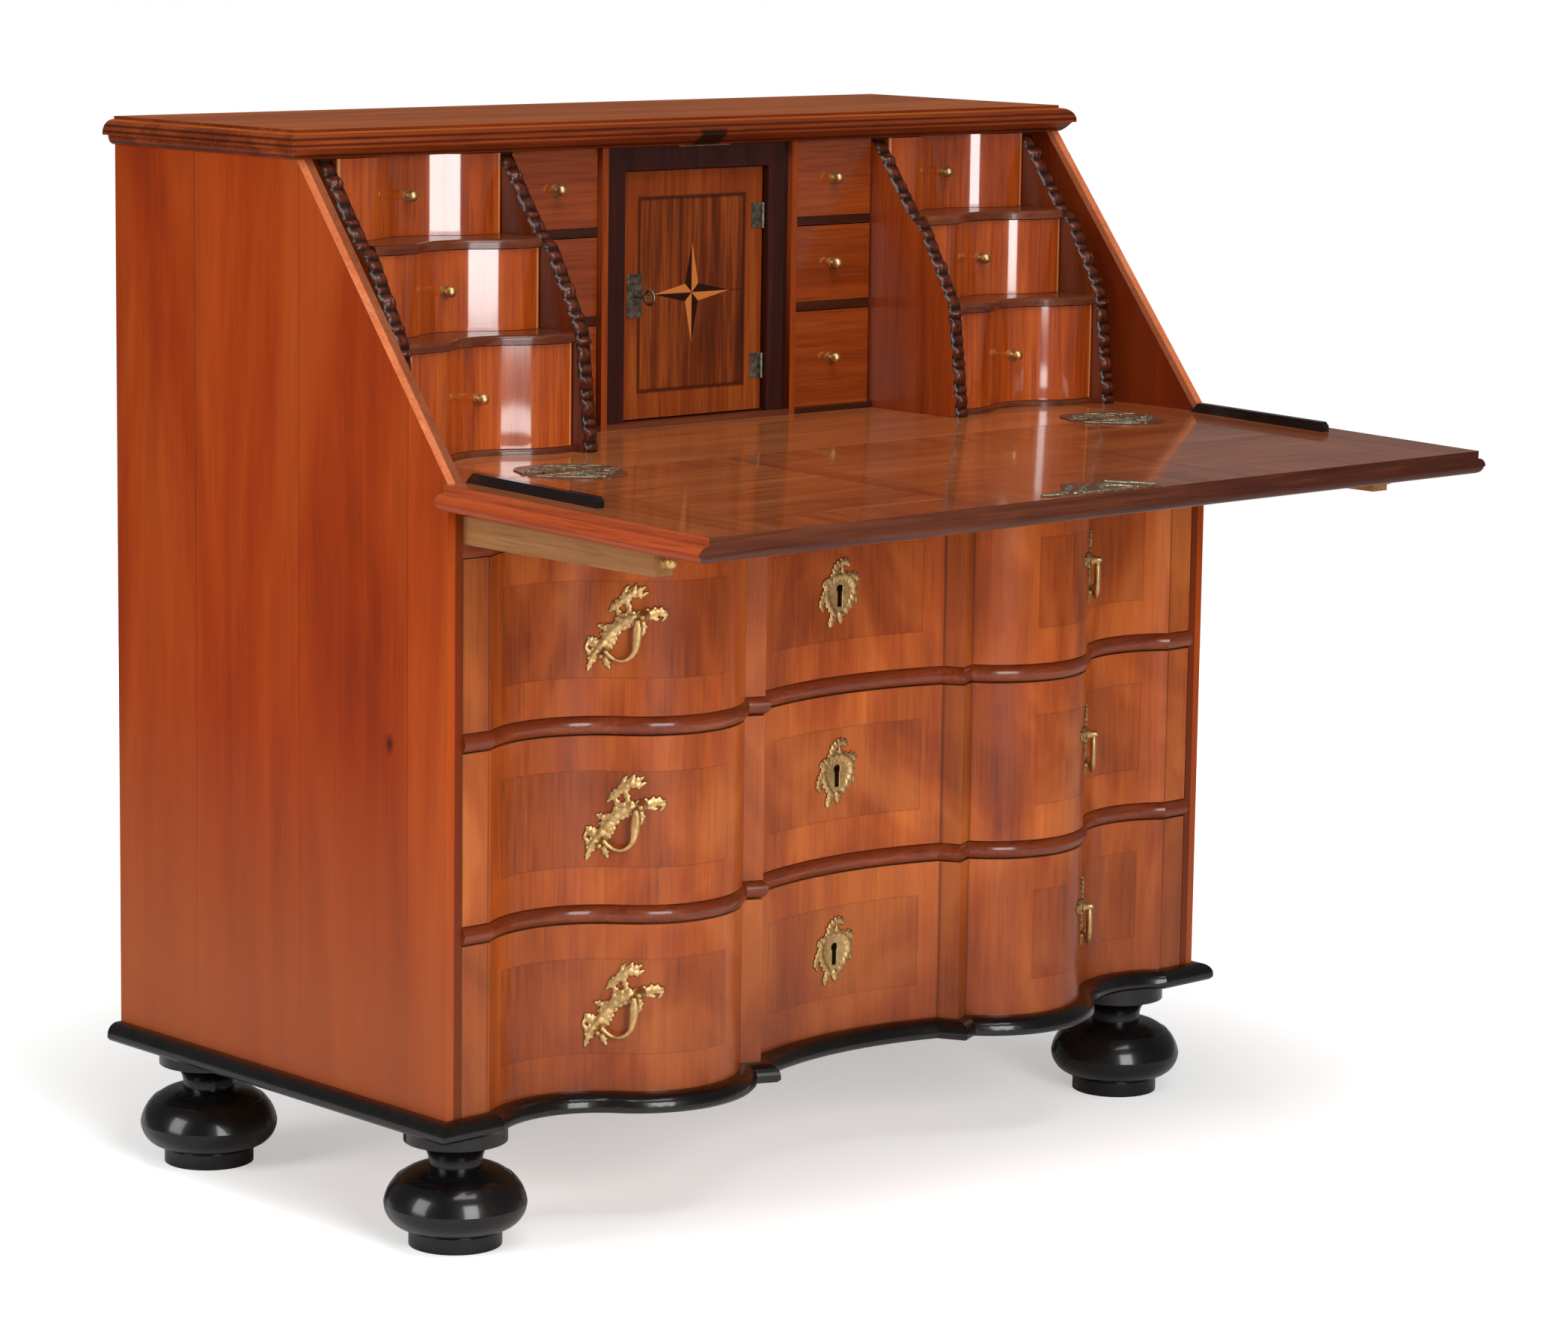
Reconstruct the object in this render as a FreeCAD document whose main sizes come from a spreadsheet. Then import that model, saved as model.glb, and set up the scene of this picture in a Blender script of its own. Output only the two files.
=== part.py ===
import FreeCAD, Part
import math
import os
import types

import Sketcher
from FreeCAD import Rotation, Vector

# Slant-front bureau: a serpentine three-drawer chest on bun feet, with a stepped writing gallery
# behind a fall front that opens on to two lopers.
# X runs to the viewer's right, Y from front to back, Z up from the floor. Local Y is zero at the
# front edge of the sides; the whole bureau is then centred over its footprint with the flap open.

# Driving dimensions in millimetres
SIZES = {
    # Case
    "case_width": 1040,
    "case_depth": 520,
    "side_thickness": 18,
    "back_thickness": 10,
    "foot_height": 122,
    "base_height": 18,
    "base_overhang": 17,
    "base_round": 12,
    "base_toe": 3,
    "drawer_height": 165,
    "rail_thickness": 18,
    "rail_nose": 5,
    "rail_bed": 3,
    "rail_depth": 100,
    "runner_width": 40,
    "loper_shelf_thickness": 13,
    "desk_thickness": 24,
    "gallery_height": 285,
    "slope_run": 226,
    "flap_seat": 0.7,
    "running_gap": 0.3,
    "panel_gap": 1.0,
    "overrun": 30,
    # Top board and its moulded edge
    "top_thickness": 28,
    "top_overhang": 15,
    "top_lip": 13,
    "top_bead": 8,
    "top_bevel_height": 10,
    "top_fillet_height": 2,
    "top_ovolo_width": 12,
    "top_quirk_depth": 3,
    "top_quirk_width": 2,
    # Serpentine front
    "bulge": 56,
    "bulge_radius": 104,
    "recess": 20,
    "crest_inset": 260,
    "cove_inset": 97,
    "valley_reach": 84,
    "facet_width": 20,
    "facet_rise": 9,
    "return_width": 11,
    "centre_radius": 372,
    # Bun feet
    "foot_inset": 58,
    "foot_front": 56,
    "foot_back_inset": 70,
    "foot_pad_radius": 45,
    "foot_pad_height": 15,
    "foot_groove": 2,
    "bun_radius": 69,
    "bun_middle": 42,
    "bun_top": 77,
    "bun_top_radius": 28,
    "bun_line_rise": 24,
    "bun_line": 1.2,
    "foot_neck_radius": 26,
    "foot_neck_height": 5,
    "foot_collar_radius": 50,
    "foot_collar_height": 20,
    # Large drawers
    "front_back": 44,
    "front_bay_wide": 68,
    "front_bay_narrow": 38,
    "front_bay_depth": 54,
    "drawer_side": 12,
    "drawer_side_height": 140,
    "drawer_bottom": 8,
    "drawer_bottom_rise": 6,
    "drawer_back_gap": 20,
    # Brass pulls and escutcheons
    "brass_thickness": 3,
    "brass_seat": 0.1,
    "pull_size": 40,
    "pull_rise": 88,
    "bail_high_across": 15.7,
    "bail_high_up": 4.9,
    "bail_low_across": -14.8,
    "bail_low_up": -24.7,
    "bail_sag": 19,
    "bail_rod": 2.4,
    "bail_eye": 3.2,
    "bail_stand": 8,
    "post_radius": 3,
    "post_top": 12,
    "escutcheon_size": 36,
    "escutcheon_rise": 89,
    "keyhole_radius": 3,
    "keyhole_slot": 3,
    "keyhole_length": 15,
    # Fall front
    "flap_droop": 7,
    "flap_back_gap": 1.2,
    "flap_top_gap": 0.7,
    "flap_overhang": 6,
    "flap_moulding": 12,
    "flap_rebate": 8,
    "flap_ledge": 1.5,
    "flap_fillet_height": 1.5,
    "flap_bead": 7.5,
    "flap_quirk": 2.5,
    "flap_nose": 8,
    "batten_width": 9,
    "batten_height": 10,
    "batten_length": 184,
    "batten_start": 2,
    "batten_slant": 10,
    "batten_bevel": 4,
    "hinge_inset": 130,
    "hinge_plate_width": 110,
    "hinge_plate_depth": 52,
    "hinge_plate_waist": 12,
    "hinge_plate_thickness": 1.2,
    "hinge_plate_gap": 3.4,
    "hinge_barrel_radius": 3,
    "hinge_pin_radius": 1.5,
    "hinge_pin_clearance": 0.08,
    "hinge_knuckle": 22,
    "lock_width": 104,
    "lock_depth": 58,
    "lock_tail": 46,
    "lock_thickness": 1.6,
    "strike_width": 70,
    "strike_depth": 8,
    "strike_thickness": 1.6,
    # Lopers
    "loper_width": 22,
    "loper_height": 34,
    "loper_rail_drop": 3,
    "loper_length": 430,
    "loper_reach": 265,
    "loper_guide": 21,
    # Writing gallery
    "partition_thickness": 18,
    "partition_place": 247,
    "stack_inset": 32,
    "divider_place": 126,
    "divider_thickness": 8,
    "gallery_floor": 6,
    "low_tier": 101,
    "middle_tier": 80,
    "shelf_thickness": 9,
    "shelf_nose": 3,
    "shelf_round": 4,
    "low_front": 122,
    "middle_front": 172,
    "upper_front": 231,
    "inner_front": 237,
    "divider_front": 230,
    "scroll_lead": 8,
    "scroll_lag": 6,
    "scroll_swell": 5,
    "scroll_notch": 5,
    "stack_bulge": 3,
    "stack_recess": 21,
    "stack_front_back": 32,
    "inner_front_thickness": 12,
    "small_side": 6,
    "small_bottom": 5,
    "small_bottom_rise": 3,
    "small_side_drop": 8,
    "gallery_back_gap": 12,
    "knob_plate_radius": 5.5,
    "knob_plate_thickness": 1.5,
    "knob_neck_radius": 2.4,
    "knob_ball_radius": 5.5,
    "knob_length": 15,
    "knob_seat": 0.4,
    # Prospect door
    "door_half": 97,
    "door_gap": 1.5,
    "door_thickness": 14,
    "door_front": 244,
    "door_top_drop": 26,
    "post_front": 236,
    "post_depth": 40,
    "door_hinge_inset": 1,
    "door_hinge_stand": 2.5,
    "door_knuckle_radius": 2,
    "door_knuckle_length": 26,
    "door_leaf_width": 14,
    "door_leaf_thickness": 0.8,
    "door_lock_width": 20,
    "door_lock_height": 44,
    "door_lock_thickness": 1.2,
    "door_lock_inset": 8,
    "key_stem_radius": 1.8,
    "key_stem_length": 16,
    "key_bow_radius": 7,
    "key_bow_rod": 1.6,
}

doc = FreeCAD.newDocument("bureau")
sheet = doc.addObject("Spreadsheet::Sheet", "Sizes")
for row, (alias, number) in enumerate(SIZES.items(), start=1):
    sheet.set("A%d" % row, alias)
    sheet.set("B%d" % row, str(number))
    sheet.setAlias("B%d" % row, alias)
doc.recompute()


class Size:
    """A number that keeps the sheet formula it was worked out from."""

    def __init__(self, number, formula):
        self.number = number
        self.formula = formula

    def joined(self, sign, other, number):
        return Size(number, "(%s %s %s)" % (self.formula, sign, other.formula))

    def __add__(self, other):
        other = sized(other)
        return self.joined("+", other, self.number + other.number)

    def __sub__(self, other):
        other = sized(other)
        return self.joined("-", other, self.number - other.number)

    def __mul__(self, other):
        other = sized(other)
        return self.joined("*", other, self.number * other.number)

    def __truediv__(self, other):
        other = sized(other)
        return self.joined("/", other, self.number / other.number)

    def __radd__(self, other):
        return sized(other) + self

    def __rsub__(self, other):
        return sized(other) - self

    def __rmul__(self, other):
        return sized(other) * self

    def __neg__(self):
        return Size(-self.number, "(0 - %s)" % self.formula)


def sized(value):
    return value if isinstance(value, Size) else Size(float(value), repr(float(value)))


def root(size):
    return Size(math.sqrt(size.number), "sqrt(%s)" % size.formula)


def angle_of(opposite, adjacent):
    """The angle, in degrees, whose tangent is the ratio of two sizes."""
    ratio = opposite / adjacent
    return Size(math.degrees(math.atan(ratio.number)), "(atan(%s) / 1 deg)" % ratio.formula)


d = types.SimpleNamespace(**{alias: Size(float(number), "Sizes." + alias) for alias, number in SIZES.items()})
ZERO = sized(0)

# Heights, from the floor up
BASE_TOP = d.foot_height + d.base_height
STOREY = d.drawer_height + d.rail_thickness
DRAWER_LEVELS = {"top": BASE_TOP + STOREY * 2, "middle": BASE_TOP + STOREY, "bottom": BASE_TOP}
LOPER_SHELF = DRAWER_LEVELS["top"] + d.drawer_height
LOPER_LEVEL = LOPER_SHELF + d.loper_shelf_thickness
DESK_UNDER = LOPER_LEVEL + d.loper_height
DESK = DESK_UNDER + d.desk_thickness
CASE_TOP = DESK + d.gallery_height

# Widths and the sloping front
HALF = d.case_width / 2
INSIDE = HALF - d.side_thickness
SLOPE_LENGTH = root(d.slope_run * d.slope_run + d.gallery_height * d.gallery_height)
FLAP_LENGTH = SLOPE_LENGTH - d.flap_top_gap
DROOP_SINE = d.flap_droop / d.loper_reach
DROOP_COSINE = root(1 - DROOP_SINE * DROOP_SINE)
FRONT = (FLAP_LENGTH * DROOP_COSINE - d.case_depth) / 2
BACK = d.case_depth - d.back_thickness
GALLERY_BACK = BACK - d.gallery_back_gap

# Serpentine front: two tangent arcs on each side, a canted facet and a hollow centre
CREST = INSIDE - d.crest_inset
COVE = INSIDE - d.cove_inset
VALLEY = CREST - d.valley_reach
FACET = VALLEY - d.facet_width
RETURN = FACET - d.return_width
FRONT_RISE = d.bulge + d.recess
FRONT_SPAN = COVE - CREST
CENTRES = (FRONT_SPAN * FRONT_SPAN + FRONT_RISE * FRONT_RISE) / (FRONT_RISE * 2)
COVE_RADIUS = CENTRES - d.bulge_radius
BULGE_CENTRE = d.bulge_radius - d.bulge
COVE_CENTRE = d.recess - COVE_RADIUS
NORMAL_ACROSS = FRONT_SPAN / CENTRES
NORMAL_BACK = (FRONT_RISE - CENTRES) / CENTRES
FLANK_ANGLE = angle_of(FRONT_SPAN, CENTRES - FRONT_RISE)


def tie(piece, prop, size):
    piece.setExpression(prop, sized(size).formula)


def place(piece, x=ZERO, y=ZERO, z=ZERO):
    for axis, size in (("x", x), ("y", FRONT + y), ("z", z)):
        tie(piece, "Placement.Base." + axis, size)
    return piece


def turn(piece, axis, degrees):
    piece.Placement.Rotation = Rotation(axis, degrees.number)
    tie(piece, "Placement.Rotation.Angle", degrees)
    return piece


def hung(piece):
    """Lets a piece of the open flap droop about its hinge line until it meets the lopers."""
    turn(piece, Vector(1, 0, 0), angle_of(DROOP_SINE, DROOP_COSINE))
    tie(piece, "Placement.Base.y", FRONT - FRONT * DROOP_COSINE + DESK * DROOP_SINE)
    tie(piece, "Placement.Base.z", DESK - FRONT * DROOP_SINE - DESK * DROOP_COSINE)
    return piece


def labelled(piece, label):
    piece.Label = label
    return piece


def group(label, pieces):
    """One node made of several separate solids."""
    compound = doc.addObject("Part::Compound", label)
    compound.Links = pieces
    return labelled(compound, label)


def board(name, low, high):
    """A flat board between two opposite corners."""
    box = doc.addObject("Part::Box", name)
    for prop, start, end in zip(("Length", "Width", "Height"), low, high):
        tie(box, prop, sized(end) - sized(start))
    return place(box, *low)


def cut(name, base, tool):
    result = doc.addObject("Part::Cut", name)
    result.Base = base
    result.Tool = tool
    return result


def fuse(name, pieces):
    result = doc.addObject("Part::MultiFuse", name)
    result.Shapes = pieces
    return result


def common(name, pieces):
    result = doc.addObject("Part::MultiCommon", name)
    result.Shapes = pieces
    return result


def rod(name, radius, length, x, y, z, axis=None, degrees=ZERO):
    """A round rod that starts at a point and runs along Z, or along Z turned about an axis."""
    cylinder = doc.addObject("Part::Cylinder", name)
    tie(cylinder, "Radius", radius)
    tie(cylinder, "Height", length)
    if axis:
        turn(cylinder, axis, sized(degrees))
    return place(cylinder, x, y, z)


def draw(sketch, corners, closed=True):
    """An outline, or an open run. A corner is (x, y), or (x, y, radius, turn) where an arc runs to the
    next one: turn is 1 for an arc that turns left and -1 for one that turns right."""
    ends, limits, formulas = [], [], []
    followers = corners[1:] + corners[:1] if closed else corners[1:]
    for corner, following in zip(corners, followers):
        first = Vector(sized(corner[0]).number, sized(corner[1]).number)
        last = Vector(sized(following[0]).number, sized(following[1]).number)
        if len(corner) == 2:
            edge = sketch.addGeometry(Part.LineSegment(first, last))
            ends.append((edge, 1, 2))
        else:
            radius, bend = corner[2].number, corner[3]
            chord = last - first
            reach = math.sqrt(radius ** 2 - (chord.Length / 2) ** 2)
            centre = (first + last) / 2 + Vector(-chord.y, chord.x).normalize() * reach * bend
            begin, finish = (first, last) if bend > 0 else (last, first)
            angles = [math.atan2(point.y - centre.y, point.x - centre.x) for point in (begin, finish)]
            circle = Part.Circle(centre, Vector(0, 0, 1), radius)
            edge = sketch.addGeometry(Part.ArcOfCircle(circle, *angles))
            ends.append((edge, 1, 2) if bend > 0 else (edge, 2, 1))
            limits.append(Sketcher.Constraint("Radius", edge, radius))
            formulas.append(corner[2].formula)
    joins = [Sketcher.Constraint("Coincident", before[0], before[2], after[0], after[1])
             for before, after in zip(ends, ends[1:])]
    starts = [(edge, start) for edge, start, end in ends]
    if closed:
        joins.append(Sketcher.Constraint("Coincident", ends[-1][0], ends[-1][2], ends[0][0], ends[0][1]))
    else:
        starts.append((ends[-1][0], ends[-1][2]))
    for corner, start in zip(corners, starts):
        for kind, size in (("DistanceX", sized(corner[0])), ("DistanceY", sized(corner[1]))):
            limits.append(Sketcher.Constraint(kind, start[0], start[1], size.number))
            formulas.append(size.formula)
    sketch.addConstraint(joins + limits)
    for index, formula in enumerate(formulas, start=len(joins)):
        sketch.setExpression("Constraints[%d]" % index, formula)


def sketched(body, name, plane, corners, closed=True):
    """An outline on one of a body's own origin planes."""
    sketch = body.newObject("Sketcher::SketchObject", name)
    support = next(feature for feature in body.Origin.OriginFeatures if feature.Role == plane)
    sketch.AttachmentSupport = [(support, "")]
    sketch.MapMode = "FlatFace"
    draw(sketch, corners, closed)
    return sketch


def padded(name, plane, corners, thickness):
    """A solid of one outline, padded along +X, +Y or +Z from its own plane."""
    body = doc.addObject("PartDesign::Body", name)
    sketch = sketched(body, name + "_outline", plane, corners)
    pad = body.newObject("PartDesign::Pad", name + "_pad")
    pad.Profile = sketch
    pad.Reversed = plane == "XZ_Plane"
    tie(pad, "Length", thickness)
    return body


def turned(name, plane, corners):
    """A turned solid: the outline goes round the sketch's own upright axis."""
    body = doc.addObject("PartDesign::Body", name)
    sketch = sketched(body, name + "_outline", plane, corners)
    revolution = body.newObject("PartDesign::Revolution", name + "_turning")
    revolution.Profile = sketch
    revolution.ReferenceAxis = (sketch, ["V_Axis"])
    return body


def swept(name, plane, section, path):
    """A moulding: a section carried along a level path and mitred at its corners."""
    body = doc.addObject("PartDesign::Body", name)
    profile = sketched(body, name + "_section", plane, section)
    spine = sketched(body, name + "_path", "XY_Plane", path, closed=False)
    pipe = body.newObject("PartDesign::AdditivePipe", name + "_run")
    pipe.Profile = profile
    pipe.Spine = (spine, [])
    pipe.Transition = "Right corner"
    return body


def shifted(corners, x, y):
    return [(corner[0] + x, corner[1] + y) + corner[2:] for corner in corners]


def rounded(body, radius, wanted):
    """Rounds the edges of a body's last feature that the test picks."""
    doc.recompute()
    base = body.Tip
    names = ["Edge%d" % number for number, edge in enumerate(base.Shape.Edges, start=1) if wanted(edge)]
    fillet = body.newObject("PartDesign::Fillet", body.Name + "_round%d" % len(body.Group))
    fillet.Base = (base, names)
    tie(fillet, "Radius", radius)
    return body


TOUCH_SHARE = 1e-6


def level_edge(edge, height):
    """True for an edge that lies flat at a height."""
    return all(math.isclose(point.Z, height.number, abs_tol=TOUCH_SHARE) for point in edge.Vertexes)


def ends_before(edge, depth):
    """True for an edge that stays in front of a depth."""
    return edge.BoundBox.YMax < depth.number


def front_outline(offset, end):
    """The serpentine front from left to right, moved forward by an offset."""
    bulge_radius = d.bulge_radius + offset
    cove_radius = COVE_RADIUS - offset
    centre_radius = d.centre_radius - offset
    band_drop = COVE_CENTRE + offset
    cove_end = COVE + root(cove_radius * cove_radius - band_drop * band_drop)
    flank = (CREST + NORMAL_ACROSS * bulge_radius, BULGE_CENTRE + NORMAL_BACK * bulge_radius)
    valley = BULGE_CENTRE - root(bulge_radius * bulge_radius - d.valley_reach * d.valley_reach)
    hollow = d.recess - d.centre_radius + root(
        centre_radius * centre_radius - RETURN * RETURN)
    left = [
        (-end, -offset),
        (-cove_end, -offset, cove_radius, -1),
        (-flank[0], flank[1], bulge_radius, 1),
        (-VALLEY, valley),
        (-FACET, valley - d.facet_rise),
        (-RETURN, hollow, centre_radius, -1),
    ]
    right = [
        (RETURN, hollow),
        (FACET, valley - d.facet_rise),
        (VALLEY, valley, bulge_radius, 1),
        (flank[0], flank[1], cove_radius, -1),
        (cove_end, -offset),
        (end, -offset),
    ]
    return left + right


def backwards(corners):
    """The same run of corners from its last point to its first."""
    points = [corner[:2] for corner in corners]
    arcs = [corner[2:] for corner in corners]
    return [points[i] + tuple(part if k == 0 else -part for k, part in enumerate(arcs[i - 1] if i else ()))
            for i in reversed(range(len(points)))]


def serpentine_board(name, offset, end, back, thickness):
    corners = front_outline(offset, end) + [(end, back), (-end, back)]
    return padded(name, "XY_Plane", corners, thickness)


# Case sides, back, bottom and top
def side_panel(label, left):
    corners = [
        (ZERO, d.foot_height),
        (d.case_depth, d.foot_height),
        (d.case_depth, CASE_TOP),
        (d.slope_run + d.flap_seat, CASE_TOP),
        (ZERO, DESK - d.flap_seat),
    ]
    return labelled(place(padded(label, "YZ_Plane", corners, d.side_thickness), left), label)


def top_board():
    bevel = CASE_TOP + d.top_bevel_height
    fillet = bevel + d.top_fillet_height
    surface = CASE_TOP + d.top_thickness
    quirk = surface - d.top_quirk_depth
    reach = HALF + d.top_overhang
    front = d.slope_run - d.top_lip
    bead, bead_top = HALF + d.top_bead, CASE_TOP + d.top_bead
    inset = d.top_ovolo_width + d.top_quirk_width
    rise = quirk - fillet
    ovolo = (d.top_ovolo_width * d.top_ovolo_width + rise * rise) / (d.top_ovolo_width * 2)
    across = padded("top_across", "XZ_Plane", [
        (-HALF, CASE_TOP),
        (HALF, CASE_TOP, d.top_bead, 1),
        (bead, bead_top),
        (bead, bevel),
        (reach, bevel),
        (reach, fillet, ovolo, 1),
        (reach - d.top_ovolo_width, quirk),
        (reach - inset, quirk),
        (reach - inset, surface),
        (inset - reach, surface),
        (inset - reach, quirk),
        (d.top_ovolo_width - reach, quirk, ovolo, 1),
        (-reach, fillet),
        (-reach, bevel),
        (-bead, bevel),
        (-bead, bead_top, d.top_bead, 1),
    ], d.case_depth)
    along = padded("top_along", "YZ_Plane", [
        (d.slope_run, CASE_TOP),
        (d.case_depth, CASE_TOP),
        (d.case_depth, surface),
        (front + inset, surface),
        (front + inset, quirk),
        (front + d.top_ovolo_width, quirk, ovolo, 1),
        (front, fillet),
        (front, bevel),
    ], reach * 2)
    place(across)
    place(along, -reach)
    return labelled(common("top_board", [across, along]), "top_board")


def base_moulding():
    """A strip with a rounded upper edge round the front and both sides, level with the case bottom."""
    outer = -HALF - d.base_overhang
    section = [
        (-HALF, ZERO),
        (-HALF, d.base_height),
        (outer + d.base_round, d.base_height, d.base_round, 1),
        (outer, d.base_height - d.base_round),
        (outer, d.base_toe),
        (outer + d.base_toe, ZERO),
    ]
    path = [(-HALF, ZERO)] + shifted(front_outline(ZERO, HALF), ZERO, -d.case_depth) + [(HALF, ZERO)]
    body = swept("base_moulding", "XZ_Plane", section, path)
    return labelled(place(body, y=d.case_depth, z=d.foot_height), "base_moulding")


def bun_foot(name, x, y):
    bun_low = d.foot_pad_height + d.foot_groove
    swell = d.bun_radius - d.foot_pad_radius
    lower_rise = d.bun_middle - bun_low
    lower = (swell * swell + lower_rise * lower_rise) / (swell * 2)
    shoulder = d.bun_radius - d.bun_top_radius
    upper_rise = d.bun_top - d.bun_middle
    upper = (shoulder * shoulder + upper_rise * upper_rise) / (upper_rise * 2)
    line = d.bun_middle + d.bun_line_rise
    line_drop = line - d.bun_top + upper
    line_radius = d.bun_top_radius + root(upper * upper - line_drop * line_drop)
    neck_top = d.bun_top + d.foot_neck_height
    collar = d.foot_height - d.foot_collar_height
    flare = d.foot_collar_radius - d.foot_neck_radius
    flare_rise = collar - neck_top
    cove = (flare * flare + flare_rise * flare_rise) / (flare * 2)
    corners = [
        (ZERO, ZERO),
        (d.foot_pad_radius, ZERO),
        (d.foot_pad_radius, d.foot_pad_height),
        (d.foot_pad_radius - d.foot_groove, d.foot_pad_height),
        (d.foot_pad_radius - d.foot_groove, bun_low),
        (d.foot_pad_radius, bun_low, lower, 1),
        (d.bun_radius, d.bun_middle, upper, 1),
        (line_radius, line),
        (line_radius - d.bun_line, line, upper, 1),
        (d.bun_top_radius, d.bun_top),
        (d.foot_neck_radius, d.bun_top),
        (d.foot_neck_radius, neck_top, cove, -1),
        (d.foot_collar_radius, collar),
        (d.foot_collar_radius, d.foot_height),
        (ZERO, d.foot_height),
    ]
    return place(turned(name, "XZ_Plane", corners), x, y)


def bun_feet():
    across = HALF - d.foot_inset
    feet = [bun_foot("foot_%s_%s" % (row, hand), across * side, y)
            for row, y in (("front", d.foot_front), ("back", d.case_depth - d.foot_back_inset))
            for hand, side in (("left", -1), ("right", 1))]
    return group("bun_feet", feet)


def front_rails():
    """Two nosed rails between the drawers, the shelf under the lopers and the rail between them."""
    rails = []
    half = d.rail_thickness / 2
    depth = d.rail_nose + d.rail_bed
    bow = (half * half + depth * depth) / (depth * 2)
    section = [(d.rail_bed, d.rail_thickness, bow, 1), (d.rail_bed, ZERO)]
    for name, level in (("rail_upper", DRAWER_LEVELS["middle"]), ("rail_lower", DRAWER_LEVELS["bottom"])):
        low = level + d.drawer_height
        rail = serpentine_board(name, -d.rail_bed, INSIDE, d.rail_depth, d.rail_thickness)
        run = shifted(front_outline(-d.rail_bed, INSIDE), INSIDE, ZERO)
        nose = swept(name + "_nose", "YZ_Plane", section, run)
        rails += [place(rail, z=low), place(nose, -INSIDE, z=low)]
    shelf = serpentine_board("loper_shelf", ZERO, INSIDE, BACK, d.loper_shelf_thickness)
    rails.append(place(shelf, z=LOPER_SHELF))
    end = INSIDE - d.loper_width - d.panel_gap
    between = serpentine_board("loper_rail", ZERO, end, d.front_back, d.loper_height - d.loper_rail_drop)
    rails.append(place(between, z=LOPER_LEVEL))
    return group("front_rails", rails)


def drawer_runners():
    pieces = []
    guide = INSIDE - d.loper_width - d.panel_gap
    for hand, side in (("left", -1), ("right", 1)):
        for name, level in (("upper", DRAWER_LEVELS["middle"]), ("lower", DRAWER_LEVELS["bottom"])):
            low = level + d.drawer_height
            pieces.append(between_sides("runner_%s_%s" % (name, hand), side, INSIDE - d.runner_width, INSIDE,
                                        (d.rail_depth, BACK), (low, low + d.rail_thickness)))
        pieces.append(between_sides("loper_guide_%s" % hand, side, guide - d.loper_guide, guide,
                                    (d.front_back, BACK), (LOPER_LEVEL, DESK_UNDER)))
    return group("drawer_runners", pieces)


def between_sides(name, side, inner, outer, depth, height):
    """A board on one side of the middle, between two distances from it."""
    low, high = (inner, outer) if side > 0 else (-outer, -inner)
    return board(name, (low, depth[0], height[0]), (high, depth[1], height[1]))


def hinge_notch(name, side):
    """The round groove in a board's edge that clears one hinge barrel."""
    length = d.hinge_knuckle * 3 + d.panel_gap * 2
    start = (INSIDE - d.hinge_inset) * side - length / 2
    return rod(name, d.hinge_barrel_radius + d.running_gap, length, start, ZERO, DESK, Vector(0, 1, 0), 90)


def writing_board():
    plank = board("writing_plank", (-INSIDE, d.running_gap, DESK_UNDER), (INSIDE, BACK, DESK))
    notches = fuse("desk_notches", [hinge_notch("desk_notch_left", -1), hinge_notch("desk_notch_right", 1)])
    return labelled(cut("writing_board", plank, notches), "writing_board")


# Gallery
FLOOR_TOP = DESK + d.gallery_floor
SHELF_LOW = FLOOR_TOP + d.low_tier
MIDDLE_LEVEL = SHELF_LOW + d.shelf_thickness
SHELF_HIGH = MIDDLE_LEVEL + d.middle_tier
UPPER_LEVEL = SHELF_HIGH + d.shelf_thickness
TIERS = {
    "upper": (UPPER_LEVEL, CASE_TOP, d.upper_front),
    "middle": (MIDDLE_LEVEL, SHELF_HIGH, d.middle_front),
    "low": (FLOOR_TOP, SHELF_LOW, d.low_front),
}
STACK_INNER = d.partition_place + d.partition_thickness
STACK_OUTER = INSIDE - d.stack_inset
STACK_MIDDLE = (STACK_INNER + STACK_OUTER) / 2
STACK_HALF = (STACK_OUTER - STACK_INNER) / 2
STACK_RISE = d.stack_bulge + d.stack_recess
STACK_CREST_SHARE = 0.78
STACK_CREST = STACK_HALF * STACK_CREST_SHARE
STACK_CENTRES = (STACK_CREST * STACK_CREST + STACK_RISE * STACK_RISE) / (STACK_RISE * 2)
STACK_BULGE_SHARE = 0.516
STACK_RADIUS = STACK_CENTRES * STACK_BULGE_SHARE
INNER_LEFT = d.divider_place + d.divider_thickness
SCROLL_SHARES = (0.30, 0.38, 0.70, 0.78)
LOBE_SHARE = 0.62
SCROLL_LOBE_SHARE = 0.75


def stack_outline(offset, half):
    """The serpentine front of one small drawer, from left to right about its own middle."""
    outer = STACK_RADIUS + offset
    inner = STACK_CENTRES - STACK_RADIUS - offset
    centre = STACK_RADIUS - d.stack_bulge
    flank = (STACK_CREST - STACK_CREST * outer / STACK_CENTRES,
             centre - (STACK_CENTRES - STACK_RISE) * outer / STACK_CENTRES)
    reach = half - STACK_CREST
    end = centre - root(outer * outer - reach * reach)
    return [
        (-half, end, outer, 1),
        (-flank[0], flank[1], inner, -1),
        (flank[0], flank[1], outer, 1),
        (half, end),
    ]


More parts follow.
